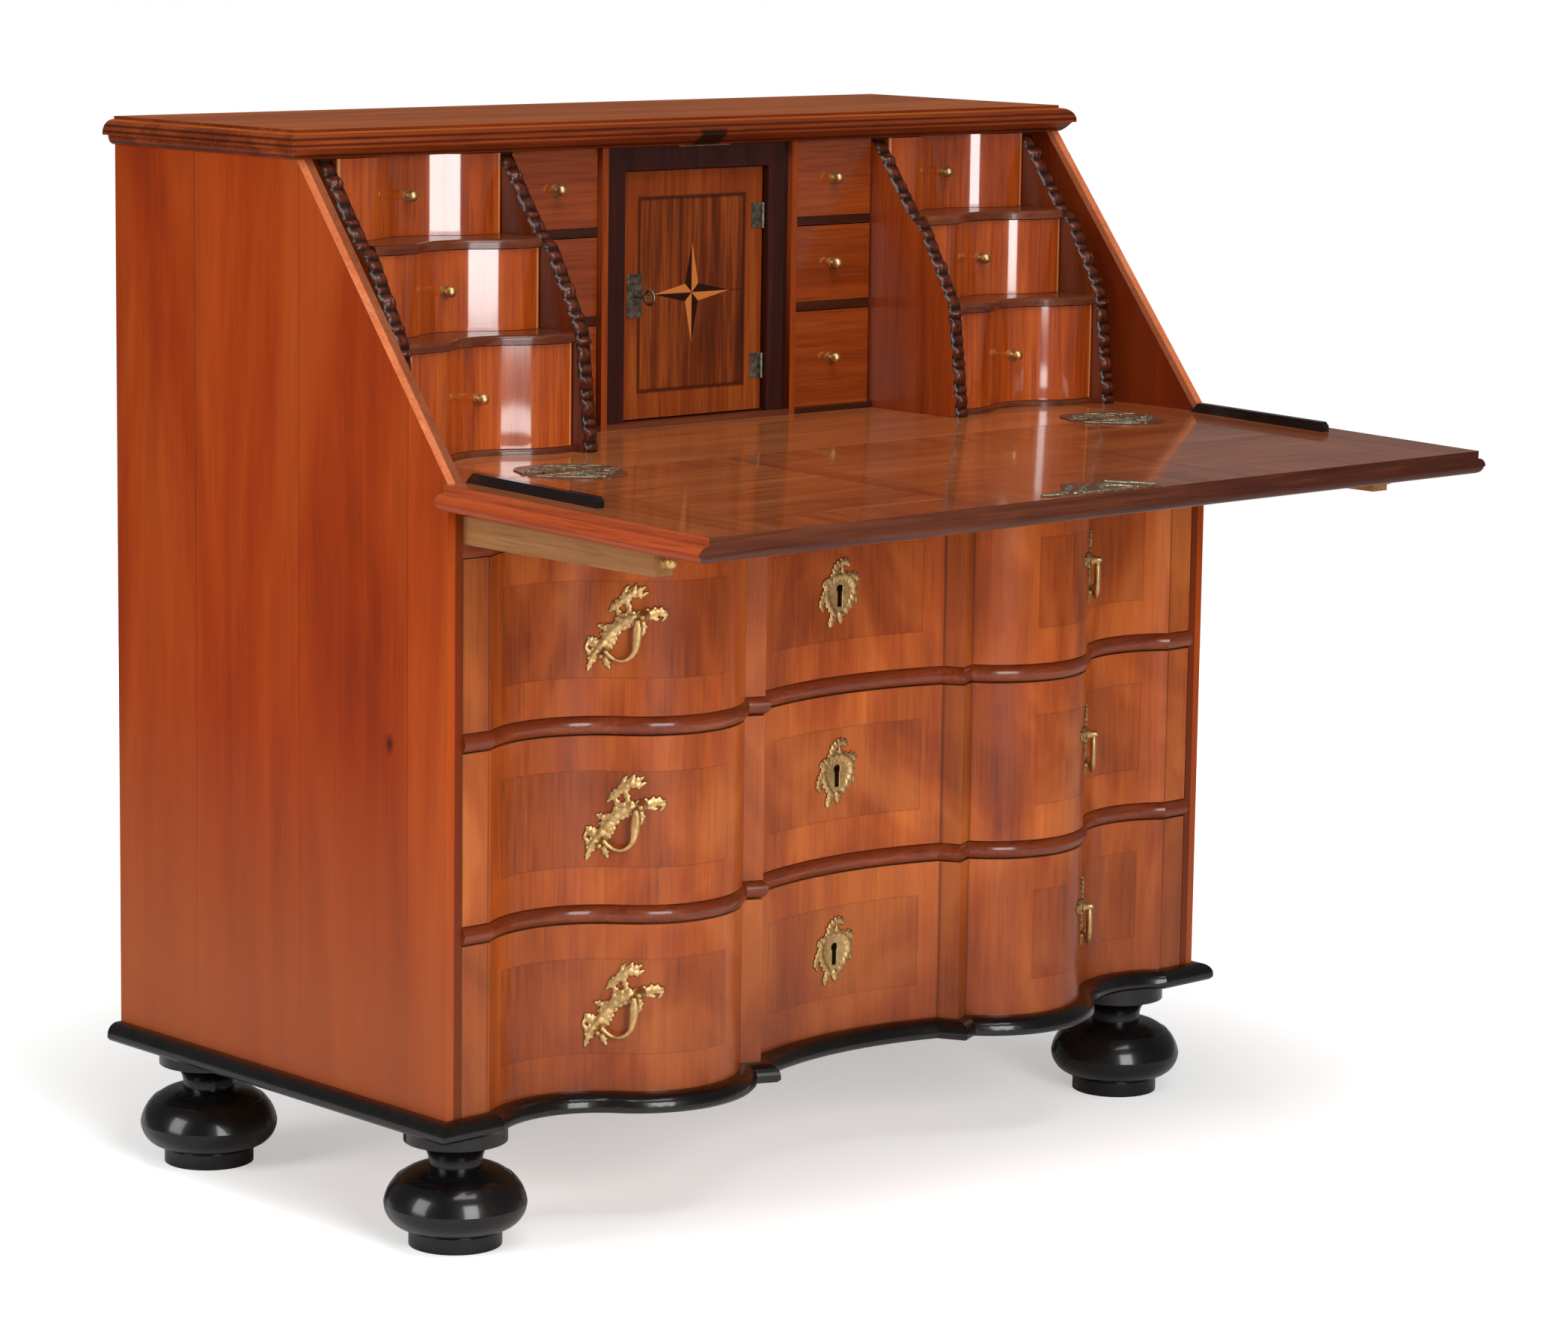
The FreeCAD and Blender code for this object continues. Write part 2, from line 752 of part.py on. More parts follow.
def scroll_edge(low, high):
    """A carved edge of three lobes, from a low front point to a high back one."""
    run, rise = high[0] - low[0], high[1] - low[1]
    length = root(run * run + rise * rise)
    ahead = (-rise / length, run / length)
    points = [low]
    for index, share in enumerate(SCROLL_SHARES):
        swell = d.scroll_swell if index % 2 == 0 else -d.scroll_notch
        points.append((low[0] + run * share + ahead[0] * swell, low[1] + rise * share + ahead[1] * swell))
    points.append(high)
    corners = []
    for index, (first, last) in enumerate(zip(points, points[1:])):
        across, up = last[0] - first[0], last[1] - first[1]
        lobe = root(across * across + up * up) * SCROLL_LOBE_SHARE
        corners.append(first + (lobe, -1) if index % 2 == 0 else first)
    return corners + [high]


def scrolled_partition(name, left):
    low, middle = d.low_front - d.scroll_lead, d.middle_front - d.scroll_lead
    edge = scroll_edge((low, DESK), (low, SHELF_LOW))
    edge += scroll_edge((low, MIDDLE_LEVEL), (middle, SHELF_HIGH))
    edge += scroll_edge((d.middle_front + d.scroll_lag, UPPER_LEVEL),
                        (d.upper_front + d.scroll_lag, CASE_TOP))
    corners = edge + [(BACK, CASE_TOP), (BACK, DESK)]
    return place(padded(name, "YZ_Plane", corners, d.partition_thickness), left)


def gallery_partitions():
    pieces = [
        scrolled_partition("partition_outer_left", -STACK_OUTER - d.partition_thickness),
        scrolled_partition("partition_inner_left", -STACK_INNER),
        scrolled_partition("partition_inner_right", d.partition_place),
        scrolled_partition("partition_outer_right", STACK_OUTER),
    ]
    for hand, side in (("left", -1), ("right", 1)):
        pieces.append(between_sides("divider_" + hand, side, d.divider_place, INNER_LEFT,
                                    (d.divider_front, BACK), (DESK, CASE_TOP)))
    return group("gallery_partitions", pieces)


def stack_shelf(name, side, front, level, thickness):
    corners = stack_outline(d.shelf_nose, STACK_HALF) + [
        (STACK_HALF, GALLERY_BACK - front), (-STACK_HALF, GALLERY_BACK - front)]
    shelf = padded(name, "XY_Plane", corners, thickness)
    rounded(shelf, d.shelf_round,
            lambda edge: level_edge(edge, thickness) and ends_before(edge, d.stack_front_back))
    return place(shelf, STACK_MIDDLE * side, front, level)


def gallery_shelves():
    pieces = []
    for hand, side in (("left", -1), ("right", 1)):
        pieces.append(stack_shelf("floor_" + hand, side, d.low_front, DESK, d.gallery_floor))
        pieces.append(stack_shelf("shelf_low_" + hand, side, d.low_front, SHELF_LOW, d.shelf_thickness))
        pieces.append(stack_shelf("shelf_high_" + hand, side, d.middle_front, SHELF_HIGH, d.shelf_thickness))
        for name, level in (("low", SHELF_LOW), ("high", SHELF_HIGH)):
            pieces.append(between_sides("inner_shelf_%s_%s" % (name, hand), side,
                                        INNER_LEFT, d.partition_place,
                                        (d.inner_front, GALLERY_BACK), (level, level + d.shelf_thickness)))
        pieces.append(between_sides("inner_floor_" + hand, side, INNER_LEFT, d.partition_place,
                                    (d.divider_front, GALLERY_BACK), (DESK, FLOOR_TOP)))
    middle = board("door_floor", (-d.divider_place, d.divider_front, DESK),
                   (d.divider_place, GALLERY_BACK, FLOOR_TOP))
    return group("gallery_shelves", pieces + [middle])


POST_INNER = d.door_half + d.door_gap
DOOR_LOW = FLOOR_TOP + d.door_gap
DOOR_HIGH = CASE_TOP - d.door_top_drop


def door_surround():
    lintel_under = DOOR_HIGH + d.door_gap
    depth = (d.post_front, d.post_front + d.post_depth)
    posts = [between_sides("post_" + hand, side, POST_INNER, d.divider_place, depth, (FLOOR_TOP, CASE_TOP))
             for hand, side in (("left", -1), ("right", 1))]
    lintel = board("lintel", (-POST_INNER, depth[0], lintel_under), (POST_INNER, depth[1], CASE_TOP))
    return group("door_surround", posts + [lintel])


def prospect_door():
    door = board("prospect_door", (-d.door_half, d.door_front, DOOR_LOW),
                 (d.door_half, d.door_front + d.door_thickness, DOOR_HIGH))
    return labelled(door, "prospect_door")


DOOR_AXIS = (d.door_half - d.door_hinge_inset, d.door_front - d.door_hinge_stand)
KNUCKLE_SHARES = (0.18, 0.80)


def door_ironwork():
    pieces = []
    height = DOOR_HIGH - DOOR_LOW
    for number, share in enumerate(KNUCKLE_SHARES, start=1):
        low = DOOR_LOW + height * share - d.door_knuckle_length / 2
        knuckle = rod("door_knuckle_%d" % number, d.door_knuckle_radius, d.door_knuckle_length,
                      *DOOR_AXIS, low)
        leaf = board("door_leaf_%d" % number,
                     (DOOR_AXIS[0] - d.door_leaf_width, d.door_front - d.door_leaf_thickness, low),
                     (DOOR_AXIS[0], d.door_front, low + d.door_knuckle_length))
        pieces.append(fuse("door_hinge_%d" % number, [knuckle, leaf]))
    middle = (DOOR_LOW + DOOR_HIGH) / 2
    left = d.door_lock_inset - d.door_half
    face = d.door_front - d.door_lock_thickness
    plate = board("door_lock", (left, face, middle - d.door_lock_height / 2),
                  (left + d.door_lock_width, d.door_front, middle + d.door_lock_height / 2))
    centre = left + d.door_lock_width / 2
    stem = rod("key_stem", d.key_stem_radius, d.key_stem_length, centre, face, middle, Vector(1, 0, 0), 90)
    bow = doc.addObject("Part::Torus", "key_bow")
    tie(bow, "Radius1", d.key_bow_radius)
    tie(bow, "Radius2", d.key_bow_rod)
    turn(bow, Vector(0, 1, 0), sized(90))
    place(bow, centre, face - d.key_stem_length - d.key_bow_radius, middle)
    pieces.append(fuse("door_key", [plate, stem, bow]))
    return group("door_ironwork", pieces)


# Fall front
def flap_board():
    inner_edge = HALF + d.flap_overhang
    reach = inner_edge + d.flap_moulding
    ledge = inner_edge + d.flap_ledge
    rebate = DESK - d.flap_rebate
    lower = DESK_UNDER + d.flap_bead
    fillet = lower + d.flap_fillet_height
    swell, rise = reach - ledge, rebate - fillet
    ovolo = (swell * swell + rise * rise) / (rise * 2)
    bead = reach - d.flap_quirk
    across = padded("flap_across", "XZ_Plane", [
        (bead - d.flap_bead, DESK_UNDER, d.flap_bead, 1),
        (bead, lower),
        (reach, lower),
        (reach, fillet, ovolo, 1),
        (ledge, rebate),
        (inner_edge, rebate),
        (inner_edge, DESK),
        (-inner_edge, DESK),
        (-inner_edge, rebate),
        (-ledge, rebate, ovolo, 1),
        (-reach, fillet),
        (-reach, lower),
        (-bead, lower, d.flap_bead, 1),
        (d.flap_bead - bead, DESK_UNDER),
    ], FLAP_LENGTH)
    along = padded("flap_along", "YZ_Plane", [
        (-FLAP_LENGTH + d.flap_nose, DESK_UNDER),
        (-d.flap_back_gap, DESK_UNDER),
        (-d.flap_back_gap, DESK),
        (-FLAP_LENGTH, DESK),
        (-FLAP_LENGTH, DESK_UNDER + d.flap_nose, d.flap_nose, 1),
    ], reach * 2)
    place(across, y=-FLAP_LENGTH)
    place(along, -reach)
    plank = common("flap_plank", [across, along])
    notches = fuse("flap_notches", [hinge_notch("flap_notch_left", -1), hinge_notch("flap_notch_right", 1)])
    return hung(labelled(cut("flap_board", plank, notches), "flap_board"))


def flap_battens():
    """Two bars inside the flap that tuck in beside the gallery when it shuts."""
    end = -d.batten_start - d.batten_length
    corners = [
        (-d.batten_start, ZERO),
        (-d.batten_start - d.batten_slant, d.batten_height),
        (end + d.batten_bevel, d.batten_height),
        (end, d.batten_height - d.batten_bevel),
        (end, ZERO),
    ]
    outer = INSIDE - d.panel_gap
    pieces = [place(padded("batten_" + hand, "YZ_Plane", corners, d.batten_width), left, z=DESK)
              for hand, left in (("left", -outer), ("right", outer - d.batten_width))]
    return hung(group("flap_battens", pieces))


def hinge_leaf(name, side, ahead):
    """One leaf of a fall-front hinge, with its own knuckles: ahead is 1 on the desk and -1 on the flap."""
    half, waist = d.hinge_plate_width / 2, d.hinge_plate_waist
    gap, depth = d.hinge_plate_gap, d.hinge_plate_depth
    lobe = root(half * half + waist * waist) * LOBE_SHARE
    bend = -ahead
    corners = [
        (-half, gap * ahead),
        (half, gap * ahead),
        (half - waist, depth * ahead / 2, lobe, -bend),
        (ZERO, depth * ahead, lobe, -bend),
        (waist - half, depth * ahead / 2),
    ]
    plate = padded(name + "_plate", "XY_Plane", corners, d.hinge_plate_thickness)
    middle = (INSIDE - d.hinge_inset) * side
    place(plate, middle, ZERO, DESK)
    along = Vector(0, 1, 0)
    knuckle = d.hinge_knuckle
    pieces = [plate]
    starts = [-knuckle * 3 / 2, knuckle / 2] if ahead > 0 else [-knuckle / 2]
    trim = d.running_gap / 2
    for number, start in enumerate(starts, start=1):
        low, length = middle + start + trim, knuckle - trim * 2
        barrel = rod("%s_knuckle_%d" % (name, number), d.hinge_barrel_radius, length,
                     low, ZERO, DESK, along, 90)
        near, far = (ZERO, gap + waist) if ahead > 0 else (-gap - waist, ZERO)
        tongue = board("%s_tongue_%d" % (name, number), (low, near, DESK),
                       (low + length, far, DESK + d.hinge_plate_thickness))
        pieces += [barrel, tongue]
    if ahead > 0:
        pieces.append(rod(name + "_pin", d.hinge_pin_radius, knuckle * 2,
                          middle - knuckle, ZERO, DESK, along, 90))
        return fuse(name, pieces)
    bore = rod(name + "_bore", d.hinge_pin_radius + d.hinge_pin_clearance, knuckle * 2,
               middle - knuckle, ZERO, DESK, along, 90)
    return cut(name, fuse(name + "_whole", pieces), bore)


def desk_ironwork():
    front = d.slope_run + d.panel_gap
    strike = board("strike_plate", (-d.strike_width / 2, front, CASE_TOP - d.strike_thickness),
                   (d.strike_width / 2, front + d.strike_depth, CASE_TOP))
    leaves = [hinge_leaf("desk_leaf_left", -1, 1), hinge_leaf("desk_leaf_right", 1, 1)]
    return group("desk_ironwork", leaves + [strike])


def flap_ironwork():
    half, tail = d.lock_width / 2, d.lock_tail
    front, back = d.panel_gap - FLAP_LENGTH, d.lock_depth - FLAP_LENGTH
    middle = (front + back) / 2
    lobe = d.lock_depth * LOBE_SHARE
    corners = [
        (-half, front),
        (half, front),
        (half, middle, lobe, 1),
        (half / 2, back),
        (ZERO, back - d.lock_depth / 4),
        (-half / 2, back),
        (-half, middle),
        (-half - tail, (middle + front) / 2),
    ]
    plate = place(padded("flap_lock", "XY_Plane", corners, d.lock_thickness), z=DESK)
    leaves = [hinge_leaf("flap_leaf_left", -1, -1), hinge_leaf("flap_leaf_right", 1, -1)]
    return hung(group("flap_ironwork", leaves + [plate]))


def loper(hand, side):
    outer = INSIDE - d.running_gap
    inner = outer - d.loper_width + d.running_gap
    bar = between_sides("loper_bar_" + hand, side, inner, outer,
                        (-d.loper_reach, d.loper_length - d.loper_reach),
                        (LOPER_LEVEL + d.running_gap, DESK_UNDER - d.flap_droop - d.running_gap))
    knob = small_knob("loper_pull_" + hand, (inner + outer) / 2 * side, -d.loper_reach,
                      LOPER_LEVEL + (d.loper_height - d.flap_droop) / 2)
    return group("loper_" + hand, [bar, knob])


def small_knob(name, x, y, z):
    """A turned knob on a round plate, standing forward from a point on a drawer front."""
    plate, neck, ball = d.knob_plate_radius, d.knob_neck_radius, d.knob_ball_radius
    widest = d.knob_length - ball
    lift = root(ball * ball - neck * neck)
    corners = [
        (ZERO, ZERO),
        (plate, ZERO),
        (plate, -d.knob_plate_thickness),
        (neck, -d.knob_plate_thickness),
        (neck, lift - widest, ball, -1),
        (ball, -widest, ball, -1),
        (ZERO, -d.knob_length),
    ]
    return place(turned(name, "XY_Plane", corners), x, y, z)


# Small drawers of the gallery
def drawer_box(name, low, high, wall, bottom, rise):
    """Sides, back and bottom of a drawer, whose front closes the low end of Y."""
    left = board(name + "_side_left", low, (low[0] + wall, high[1], high[2]))
    right = board(name + "_side_right", (high[0] - wall, low[1], low[2]), high)
    rear = board(name + "_rear", (low[0] + wall, high[1] - wall, low[2]), (high[0] - wall, high[1], high[2]))
    floor = board(name + "_bottom", (low[0] + wall, low[1], low[2] + rise),
                  (high[0] - wall, high[1] - wall, low[2] + rise + bottom))
    return [left, right, rear, floor]


def stack_drawer(hand, side, tier):
    level, ceiling, front = TIERS[tier]
    name = "%s_stack_drawer_%s" % (hand, tier)
    half = STACK_HALF - d.panel_gap
    bottom, top = level + d.running_gap, ceiling - d.panel_gap
    corners = stack_outline(ZERO, half) + [(half, d.stack_front_back), (-half, d.stack_front_back)]
    middle = STACK_MIDDLE * side
    face = place(padded(name + "_front", "XY_Plane", corners, top - bottom), middle, front, bottom)
    box = drawer_box(name, (middle - half, front + d.stack_front_back, bottom),
                     (middle + half, GALLERY_BACK - d.panel_gap, top - d.small_side_drop),
                     d.small_side, d.small_bottom, d.small_bottom_rise)
    knob = small_knob("%s_stack_knob_%s" % (hand, tier), middle, front + d.stack_recess - d.knob_seat,
                      (bottom + top) / 2)
    return [group(name, [face] + box), labelled(knob, knob.Name)]


def inner_drawer(hand, side, tier):
    level, ceiling = TIERS[tier][:2]
    name = "%s_inner_drawer_%s" % (hand, tier)
    near, far = INNER_LEFT + d.panel_gap, d.partition_place - d.panel_gap
    bottom, top = level + d.running_gap, ceiling - d.panel_gap
    behind = d.inner_front + d.inner_front_thickness
    face = between_sides(name + "_front", side, near, far, (d.inner_front, behind), (bottom, top))
    left, right = (near, far) if side > 0 else (-far, -near)
    box = drawer_box(name, (left, behind, bottom),
                     (right, GALLERY_BACK - d.panel_gap, top - d.small_side_drop),
                     d.small_side, d.small_bottom, d.small_bottom_rise)
    knob = small_knob("%s_inner_knob_%s" % (hand, tier), (left + right) / 2, d.inner_front,
                      (bottom + top) / 2)
    return [group(name, [face] + box), labelled(knob, knob.Name)]


# Large drawers and their brasses
def large_front(name, level):
    end = INSIDE - d.panel_gap
    back = d.front_back
    bay = back - d.front_bay_depth
    wide, narrow = d.front_bay_wide, d.front_bay_narrow
    rear = []
    for side in (1, -1):
        edges = [wide, narrow, -narrow, -wide]
        depths = [back, bay, bay, back]
        rear += [((CREST + edge * side) * side, depth) for edge, depth in zip(edges, depths)]
    corners = front_outline(ZERO, end) + [(end, back)] + rear + [(-end, back)]
    height = d.drawer_height - d.panel_gap - d.running_gap
    return place(padded(name, "XY_Plane", corners, height), z=level + d.running_gap)


def large_box(name, level):
    end = INSIDE - d.panel_gap
    low = level + d.running_gap
    rear = BACK - d.drawer_back_gap
    return drawer_box(name, (-end, d.front_back, low), (end, rear, low + d.drawer_side_height),
                      d.drawer_side, d.drawer_bottom, d.drawer_bottom_rise)


PULL_SHARES = [
    (-0.95, -0.99), (-0.42, -0.88), (-0.33, -0.52), (0.06, -0.04), (0.50, 0.06), (0.97, 0.16),
    (0.62, 0.42), (0.70, 0.80), (0.36, 1.00), (0.04, 0.72), (-0.24, 0.66), (-0.34, 0.34),
    (-0.68, 0.16), (-0.88, -0.16), (-0.80, -0.55),
]
ESCUTCHEON_SHARES = [
    (-0.16, -1.00), (0.22, -0.92), (0.42, -0.38), (0.66, 0.16), (0.56, 0.52), (0.30, 0.66),
    (0.34, 0.98), (-0.08, 0.94), (-0.34, 0.62), (-0.58, 0.22), (-0.66, -0.20), (-0.34, -0.56),
]


def scalloped(shares, size, side):
    """A cartouche outline: its corners are joined by outward lobes."""
    points = [(size * x * side, size * y) for x, y in shares]
    corners = []
    for first, last in zip(points, points[1:] + points[:1]):
        across, up = last[0] - first[0], last[1] - first[1]
        lobe = root(across * across + up * up) * LOBE_SHARE
        corners.append(first + (lobe, side))
    return corners


def brass_shell(name, level):
    """A skin over the whole serpentine front, from which the brasses are cut."""
    end = COVE
    near, far = front_outline(d.brass_seat, end), front_outline(d.brass_seat + d.brass_thickness, end)
    corners = far[1:-1] + backwards(near[1:-1])
    return place(padded(name, "XY_Plane", corners, d.drawer_height), z=level)


def flank_point(side, across, up, stand):
    """A place on a pull, from its middle: across to the viewer's right, up, and out from the front."""
    x = CREST + NORMAL_ACROSS * d.bulge_radius
    y = BULGE_CENTRE + NORMAL_BACK * d.bulge_radius
    return (x * side + NORMAL_BACK * across * -1 + NORMAL_ACROSS * stand * side,
            y + NORMAL_ACROSS * across * side + NORMAL_BACK * stand, up)


HALF_TURN = 180
BAIL_ENDS = ((d.bail_high_across, d.bail_high_up), (d.bail_low_across, d.bail_low_up))
BAIL_RUN = BAIL_ENDS[0][0] - BAIL_ENDS[1][0]
BAIL_RISE = BAIL_ENDS[0][1] - BAIL_ENDS[1][1]
BAIL_CHORD = root(BAIL_RUN * BAIL_RUN + BAIL_RISE * BAIL_RISE)


def pull_plate(name, side, middle, shell):
    flip = -side
    prism = padded(name + "_outline_block", "XZ_Plane",
                   scalloped(PULL_SHARES, d.pull_size, flip), d.overrun * 2)
    turn(prism, Vector(0, 0, 1), FLANK_ANGLE * side)
    place(prism, *flank_point(side, ZERO, middle, d.overrun))
    plate = common(name + "_plate", [shell, prism])
    posts = []
    spare = d.bail_eye + d.post_radius + d.running_gap
    for number, (end, way) in enumerate(zip(BAIL_ENDS, (1, -1)), start=1):
        across = (end[0] + BAIL_RUN * spare / BAIL_CHORD * way) * flip
        up = end[1] + BAIL_RISE * spare / BAIL_CHORD * way
        radius = d.bulge_radius if way > 0 else COVE_RADIUS
        start = d.brass_thickness / 2 - across * across / (radius * 2) * way
        post = rod("%s_post_%d" % (name, number), d.post_radius, d.post_top - start,
                   *flank_point(side, across, middle + up, start))
        aim(post, side)
        posts.append(post)
    return fuse(name, [plate] + posts)


def aim(piece, side):
    """Turns a rod so that it stands straight out of a pull's middle."""
    across = Rotation(Vector(0, 0, 1), FLANK_ANGLE.number * side)
    piece.Placement.Rotation = across * Rotation(Vector(1, 0, 0), 90)


def escutcheon(name, middle, shell):
    prism = padded(name + "_outline_block", "XZ_Plane",
                   scalloped(ESCUTCHEON_SHARES, d.escutcheon_size, 1), d.overrun * 2)
    place(prism, y=d.recess - d.overrun, z=middle)
    plate = common(name + "_plate", [shell, prism])
    hole = rod(name + "_hole", d.keyhole_radius, d.overrun * 2, ZERO, d.recess + d.overrun, middle,
               Vector(1, 0, 0), 90)
    slot = board(name + "_slot", (-d.keyhole_slot / 2, d.recess - d.overrun, middle - d.keyhole_length),
                 (d.keyhole_slot / 2, d.recess + d.overrun, middle))
    return cut(name, plate, fuse(name + "_keyhole", [hole, slot]))


def drawer_brasses(storey, level):
    shell = "brass_skin_%s" % storey
    pieces = []
    for hand, side in (("left", -1), ("right", 1)):
        skin = brass_shell("%s_%s" % (shell, hand), level)
        pieces.append(pull_plate("pull_plate_%s_%s" % (storey, hand), side, level + d.pull_rise, skin))
    skin = brass_shell(shell + "_middle", level)
    pieces.append(escutcheon("escutcheon_" + storey, level + d.escutcheon_rise, skin))
    return group("drawer_%s_brasses" % storey, pieces)


def bail(storey, hand, side, level):
    """A drop handle: a bow between two eyes, on an axis that slants across its plate."""
    name = "bail_%s_%s" % (storey, hand)
    middle = level + d.pull_rise
    half = BAIL_CHORD / 2
    radius = (half * half + d.bail_sag * d.bail_sag) / (d.bail_sag * 2)
    centre_drop = radius - d.bail_sag
    across = (BAIL_ENDS[0][0] + BAIL_ENDS[1][0]) / 2 - BAIL_RISE / BAIL_CHORD * centre_drop
    up = (BAIL_ENDS[0][1] + BAIL_ENDS[1][1]) / 2 + BAIL_RUN / BAIL_CHORD * centre_drop
    sweep = math.degrees(2 * math.asin(half.number / radius.number))
    toward = math.degrees(math.atan2(-BAIL_RUN.number, BAIL_RISE.number))
    bow = doc.addObject("Part::Torus", name + "_bow")
    tie(bow, "Radius1", radius)
    tie(bow, "Radius2", d.bail_rod)
    bow.Angle3 = sweep
    start = toward - sweep / 2 if side < 0 else HALF_TURN - toward - sweep / 2
    bow.Placement.Rotation = (Rotation(Vector(0, 0, 1), FLANK_ANGLE.number * side)
                              * Rotation(Vector(1, 0, 0), 90) * Rotation(Vector(0, 0, 1), start))
    flip = -side
    place(bow, *flank_point(side, across * flip, middle + up, d.bail_stand))
    eyes = []
    for number, end in enumerate(BAIL_ENDS, start=1):
        eye = doc.addObject("Part::Sphere", "%s_eye_%d" % (name, number))
        tie(eye, "Radius", d.bail_eye)
        eyes.append(place(eye, *flank_point(side, end[0] * flip, middle + end[1], d.bail_stand)))
    return labelled(fuse(name, [bow] + eyes), name)


# The bureau
nodes = [
    side_panel("side_left", -HALF),
    side_panel("side_right", INSIDE),
    top_board(),
    labelled(board("back_panel", (-INSIDE, BACK, d.foot_height), (INSIDE, d.case_depth, CASE_TOP)),
             "back_panel"),
    labelled(place(serpentine_board("bottom_board", ZERO, INSIDE, BACK, d.base_height), z=d.foot_height),
             "bottom_board"),
    base_moulding(),
    bun_feet(),
    writing_board(),
    front_rails(),
    drawer_runners(),
    gallery_partitions(),
    gallery_shelves(),
    door_surround(),
    desk_ironwork(),
    flap_board(),
    flap_battens(),
    flap_ironwork(),
    prospect_door(),
    door_ironwork(),
]
for hand, side in (("left", -1), ("right", 1)):
    nodes.append(loper(hand, side))
    for tier in TIERS:
        nodes += stack_drawer(hand, side, tier)
        nodes += inner_drawer(hand, side, tier)
for storey, level in DRAWER_LEVELS.items():
    nodes.append(labelled(large_front("drawer_%s_front" % storey, level), "drawer_%s_front" % storey))
    nodes.append(group("drawer_%s_box" % storey, large_box("drawer_%s" % storey, level)))
    nodes.append(drawer_brasses(storey, level))
    for hand, side in (("left", -1), ("right", 1)):
        nodes.append(bail(storey, hand, side, level))

doc.recompute()
broken = [piece.Name for piece in doc.Objects if "Invalid" in piece.State or "Error" in piece.State]
broken += [piece.Label for piece in nodes if piece.Shape.isNull() or not piece.Shape.isValid()]
if broken:
    raise RuntimeError("These pieces failed to build: %s" % ", ".join(broken))

os.makedirs("parts", exist_ok=True)
for piece in nodes:
    piece.Shape.exportStep("parts/%s.step" % piece.Label)
    print("%-28s %d solids" % (piece.Label, len(piece.Shape.Solids)))
print(len(nodes), "nodes")
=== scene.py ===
import math

import bpy
import numpy as np
from mathutils import Matrix, Vector


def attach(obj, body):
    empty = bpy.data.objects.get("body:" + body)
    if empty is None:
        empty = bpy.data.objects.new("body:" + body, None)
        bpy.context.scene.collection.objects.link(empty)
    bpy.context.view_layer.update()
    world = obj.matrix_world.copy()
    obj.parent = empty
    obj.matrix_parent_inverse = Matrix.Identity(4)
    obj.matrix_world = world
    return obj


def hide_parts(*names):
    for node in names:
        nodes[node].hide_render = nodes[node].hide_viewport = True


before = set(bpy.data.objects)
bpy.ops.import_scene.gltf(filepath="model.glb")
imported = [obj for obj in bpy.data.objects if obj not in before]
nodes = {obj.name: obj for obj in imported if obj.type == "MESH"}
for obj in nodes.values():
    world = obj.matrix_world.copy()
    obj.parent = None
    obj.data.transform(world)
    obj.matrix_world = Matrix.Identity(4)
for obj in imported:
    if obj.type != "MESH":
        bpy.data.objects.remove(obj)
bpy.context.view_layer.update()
scene = bpy.context.scene
scene.view_settings.view_transform = "Standard"

# The photograph's size and its camera, in pixels, radians and metres
IMAGE_WIDTH, IMAGE_HEIGHT = 2095, 1764
FOCAL_LENGTH = 6390.4
IMAGE_MIDDLE = (1015.17, 806.64)
CAMERA_TURN = (0.7513, -0.1508, 0.0133)
CAMERA_PLACE = (-3.2822, -3.4571, 1.2964)
SENSOR_WIDTH = 36

# Each light's name, place, target, size and power, and how bright the world is to the part and to the camera
LIGHTS = [
    ("key", (-1.3, -3.7, 1.5), (0, -0.1, 0.75), (1.6, 2.1), 112),
    ("fill", (-4.4, 0.7, 1.9), (-0.3, 0, 0.6), (1.8, 2.4), 92),
    ("over", (-0.7, -1.5, 3.9), (0, -0.1, 0.6), (2.2, 2.2), 100),
]
WORLD_LIGHT, WORLD_SEEN = 0.14, 1.0
FLOOR_RADIUS = 3.4

# Places on the part, in metres. Depths are from FRONT, the sides' front edges, except SIDE_JOINTS.
# Places across are from the middle, most of them for both hands.
FRONT = -0.0785473
SIDE_JOINTS, SIDE_SHADES = (-0.02, 0.145, 0.31), (0.10, -0.06, 0.12)
SIDE_INSIDE = 0.511
KNOT_DEPTH, KNOT_LEVEL, KNOT_RADIUS = 0.085, 0.487, 0.0045
TOP_QUIRKS = (1.0462, 1.0405, 1.0300)
STRIKE_HALF, STRIKE_LEVEL = 0.012, 1.043
BACK_JOINTS = (-0.33, -0.115, 0.118, 0.305)
LOPER_END = 0.2652
DRAWER_LEVELS = {"top": 0.506, "middle": 0.323, "bottom": 0.140}
PULL_LEVEL, LOCK_LEVEL = 0.088, 0.089
PANEL_LEVELS = (0.037, 0.130)
CENTRE_PANEL, BULGE_PANEL = 0.104, (0.215, 0.442)
COVE_STRIP, END_STRIP = (0.1275, 0.158), 0.470
TIER_FRONTS = {"low": 0.122, "middle": 0.172, "upper": 0.231}
STACK_THICKNESS, STACK_END_HIGHLIGHTS = 0.0315, (0.2685, 0.4665)
INNER_FRONT, INNER_THICKNESS = 0.237, 0.0115
INNER_SHELVES, STACK_FLANKS, DIVIDER_FLANKS = (0.133, 0.248), (0.2640, 0.4710), (0.1255, 0.1345)
DOOR_MIDDLE, DOOR_PANEL, DOOR_LINE = 0.87525, (0.072, 0.098), 0.004
STAR_REACH, STAR_WAIST = 0.052, 0.009
DESK_BORDER, FLAP_LIP, FLAP_BORDERS, FLAP_LEAVES = 0.436, 0.3629, (0.052, 0.315), (0.150, 0.182)


